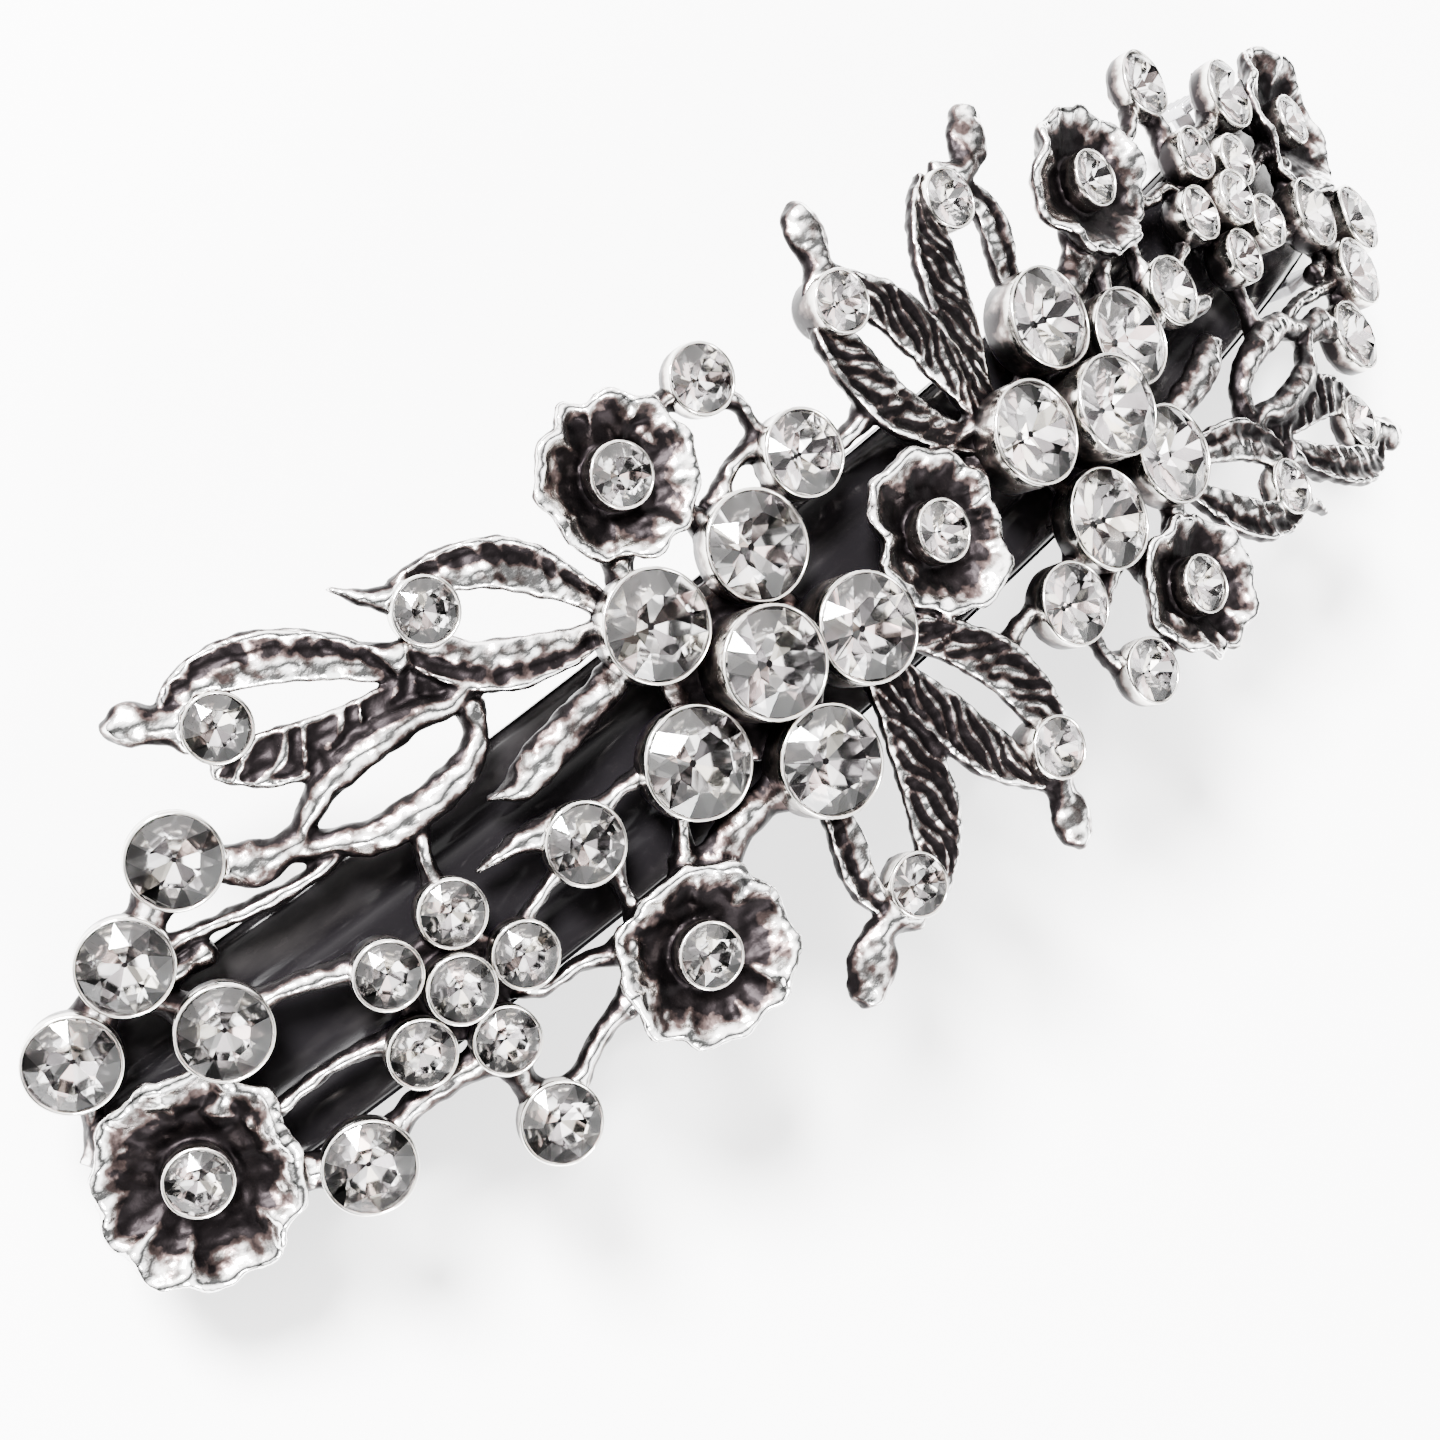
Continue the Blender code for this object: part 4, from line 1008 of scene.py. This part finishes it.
def bright_silver():
    """Turned bezels: polished lips, with oxide down the walls."""
    mat, nodes, links, shader = new_material("bezel_silver")
    relief = nodes.new("ShaderNodeAttribute")
    relief.attribute_name = "relief"
    wear = mixed(nodes, links, relief.outputs["Fac"], noise(nodes, links, 900.0, 5.0), 1.1)
    links.new(ramp(nodes, links, wear, ((0.25, (0.010, 0.0085, 0.009)), (0.42, (0.10, 0.08, 0.075)),
                                        (0.6, (0.45, 0.43, 0.40)), (0.95, (0.85, 0.83, 0.79)))),
              shader.inputs["Base Color"])
    links.new(ramp(nodes, links, wear, ((0.3, grey(0.4)), (0.7, grey(0.12)))), shader.inputs["Roughness"])
    shader.inputs["Metallic"].default_value = 1.0
    bump(nodes, links, noise(nodes, links, 1500.0, 2.0), shader, 0.3, 0.00005)
    return mat


def gem_glass():
    mat, nodes, links, shader = new_material("crystal_glass")
    tint = noise(nodes, links, 300.0, 1.0)
    links.new(ramp(nodes, links, tint, ((0.35, (1.0, 0.99, 0.985)), (0.65, (0.99, 0.975, 0.975)))),
              shader.inputs["Base Color"])
    shader.inputs["Roughness"].default_value = 0.0
    shader.inputs["IOR"].default_value = 1.54
    shader.inputs["Transmission Weight"].default_value = 1.0
    return mat


def gem_foil(name, colour):
    mat, nodes, links, shader = new_material(name)
    tint = noise(nodes, links, 500.0, 2.0)
    dark = tuple(c * 0.8 for c in colour)
    links.new(ramp(nodes, links, tint, ((0.35, dark), (0.65, colour))), shader.inputs["Base Color"])
    shader.inputs["Metallic"].default_value = 1.0
    shader.inputs["Roughness"].default_value = FOIL_ROUGHNESS
    return mat


def lacquer():
    """Glossy black with fine lengthwise polishing streaks and a little dust."""
    mat, nodes, links, shader = new_material("black_lacquer_gloss")
    dust = noise(nodes, links, 420.0, 6.0, (0.15, 1.0, 1.0))
    links.new(ramp(nodes, links, dust, ((0.5, (0.0042, 0.0038, 0.0043)), (0.75, (0.013, 0.012, 0.012)))),
              shader.inputs["Base Color"])
    links.new(ramp(nodes, links, dust, ((0.35, grey(0.08)), (0.75, grey(0.3)))), shader.inputs["Roughness"])
    shader.inputs["Specular IOR Level"].default_value = 0.09
    bump(nodes, links, noise(nodes, links, 900.0, 3.0, (0.06, 1.0, 1.0)), shader, 0.2, 0.0001)
    return mat


def drawn_steel(name, colour, roughness, stretch):
    """Sheet or wire steel with drawing lines and worn spots."""
    mat, nodes, links, shader = new_material(name)
    lines = noise(nodes, links, 2200.0, 3.0, stretch)
    patches = noise(nodes, links, 160.0, 4.0)
    blended = mixed(nodes, links, patches, lines, 0.35)
    dark = tuple(c * 0.55 for c in colour)
    links.new(ramp(nodes, links, blended, ((0.3, dark), (0.55, colour))), shader.inputs["Base Color"])
    links.new(ramp(nodes, links, blended, ((0.3, grey(roughness + 0.2)), (0.65, grey(roughness)))),
              shader.inputs["Roughness"])
    shader.inputs["Metallic"].default_value = 1.0
    bump(nodes, links, lines, shader, 0.15, 0.00004)
    return mat


# ---- studio --------------------------------------------------------------------------------------------
# brightness of the surround across the clip (0 front, 1 back) and by the sine of its elevation
WORLD_ACROSS = ((0.0, grey(1.0)), (0.2, grey(0.85)), (0.33, grey(0.025)), (0.46, grey(0.025)),
                (0.56, grey(0.3)), (0.68, (1.0, 0.97, 0.96)))
WORLD_UPWARD = ((0.0, grey(0.06)), (0.2, grey(0.2)), (0.5, grey(1.0)))
WORLD_STRENGTH = 7.0
# lamps as name, place in metres, size and power; they look at LAMP_TARGET
LAMPS = (("key", (-0.16, 0.48, 0.52), 0.22, 60.0), ("fill", (-0.30, -0.45, 0.40), 0.25, 8.0))
LAMP_TARGET = (0.0, 0.0, 0.01)
# camera place in millimetres and its right, down and forward directions
CAMERA_PLACE = (-67.67, 24.49, 91.30 + CROWN_HEIGHT)
CAMERA_RIGHT = (0.65704, -0.54666, 0.51909)
CAMERA_DOWN = (-0.5792, -0.80681, -0.11653)
CAMERA_AHEAD = (0.48251, -0.2241, -0.84674)
SENSOR_WIDTH = 36.0
LENS = 62.44


def make_floor():
    mat, nodes, links, shader = new_material("studio_white")
    links.new(ramp(nodes, links, noise(nodes, links, 3.0, 1.0), ((0.3, grey(0.90)), (0.7, grey(0.92)))),
              shader.inputs["Base Color"])
    shader.inputs["Roughness"].default_value = 0.9
    bm = bmesh.new()
    bmesh.ops.create_grid(bm, x_segments=8, y_segments=8, size=3.0)
    mesh = bpy.data.meshes.new("floor")
    bm.to_mesh(mesh)
    bm.free()
    mesh.materials.append(mat)
    floor = bpy.data.objects.new("floor", mesh)
    bpy.context.scene.collection.objects.link(floor)


def area_light(name, place, size, power):
    light = bpy.data.lights.new(name, "AREA")
    light.shape = "DISK"
    light.size = size
    light.energy = power
    item = bpy.data.objects.new(name, light)
    item.location = place
    item.rotation_mode = "QUATERNION"
    item.rotation_quaternion = (Vector(LAMP_TARGET) - Vector(place)).to_track_quat("-Z", "Y")
    bpy.context.scene.collection.objects.link(item)


def scaled(nodes, links, source, factor, offset):
    node = nodes.new("ShaderNodeMath")
    node.operation = "MULTIPLY_ADD"
    node.inputs[1].default_value = factor
    node.inputs[2].default_value = offset
    links.new(source, node.inputs[0])
    return node.outputs[0]


def make_world():
    """Studio surround: bright to both sides with a dark gap between, and dark low down."""
    world = bpy.data.worlds.new("studio")
    world.use_nodes = True
    nodes = world.node_tree.nodes
    links = world.node_tree.links
    coords = nodes.new("ShaderNodeTexCoord")
    split = nodes.new("ShaderNodeSeparateXYZ")
    links.new(coords.outputs["Generated"], split.inputs["Vector"])
    across = ramp(nodes, links, scaled(nodes, links, split.outputs["Y"], 0.5, 0.5), WORLD_ACROSS)
    upward = ramp(nodes, links, split.outputs["Z"], WORLD_UPWARD)
    both = nodes.new("ShaderNodeMix")
    both.data_type = "RGBA"
    both.blend_type = "MULTIPLY"
    both.inputs["Factor"].default_value = 1.0
    links.new(across, both.inputs["A"])
    links.new(upward, both.inputs["B"])
    links.new(both.outputs["Result"], nodes["Background"].inputs["Color"])
    nodes["Background"].inputs["Strength"].default_value = WORLD_STRENGTH
    bpy.context.scene.world = world


def make_camera():
    data = bpy.data.cameras.new("camera")
    data.sensor_width = SENSOR_WIDTH
    data.lens = LENS
    data.clip_start = 0.005
    data.clip_end = 20.0
    camera = bpy.data.objects.new("camera", data)
    turn = Matrix((Vector(CAMERA_RIGHT), -Vector(CAMERA_DOWN), -Vector(CAMERA_AHEAD))).transposed()
    camera.rotation_mode = "QUATERNION"
    camera.rotation_quaternion = turn.to_quaternion()
    camera.location = Vector(CAMERA_PLACE) * METRES
    bpy.context.scene.collection.objects.link(camera)
    bpy.context.scene.camera = camera


def main():
    silver = cast_silver()
    make_casting(silver)
    make_bezels(bright_silver())
    painted_foils = [gem_foil(name, colour) for name, colour in PAINTED_FOIL_TONES]
    make_gems(gem_glass(), painted_foils)
    make_plate(lacquer())
    make_arm(drawn_steel("nickel_steel_drawn", (0.72, 0.71, 0.70), 0.22, (0.04, 1.0, 1.0)))
    spring = drawn_steel("spring_steel_drawn", (0.50, 0.50, 0.52), 0.25, (0.04, 1.0, 1.0))
    make_bow(spring)
    make_lug("lug_front_leaf", 1, "catch_lug_front", "lug_front", spring)
    make_lug("lug_back_leaf", -1, "catch_lug_back", "lug_back", spring)
    bright = drawn_steel("pin_steel_drawn", (0.76, 0.75, 0.74), 0.2, (1.0, 0.05, 1.0))
    make_pin(bright)
    make_rivet("rivet_cap_near", 1, "rivet_near", bright)
    make_rivet("rivet_cap_far", -1, "rivet_far", bright)
    make_floor()
    make_world()
    for lamp in LAMPS:
        area_light(*lamp)
    make_camera()


main()
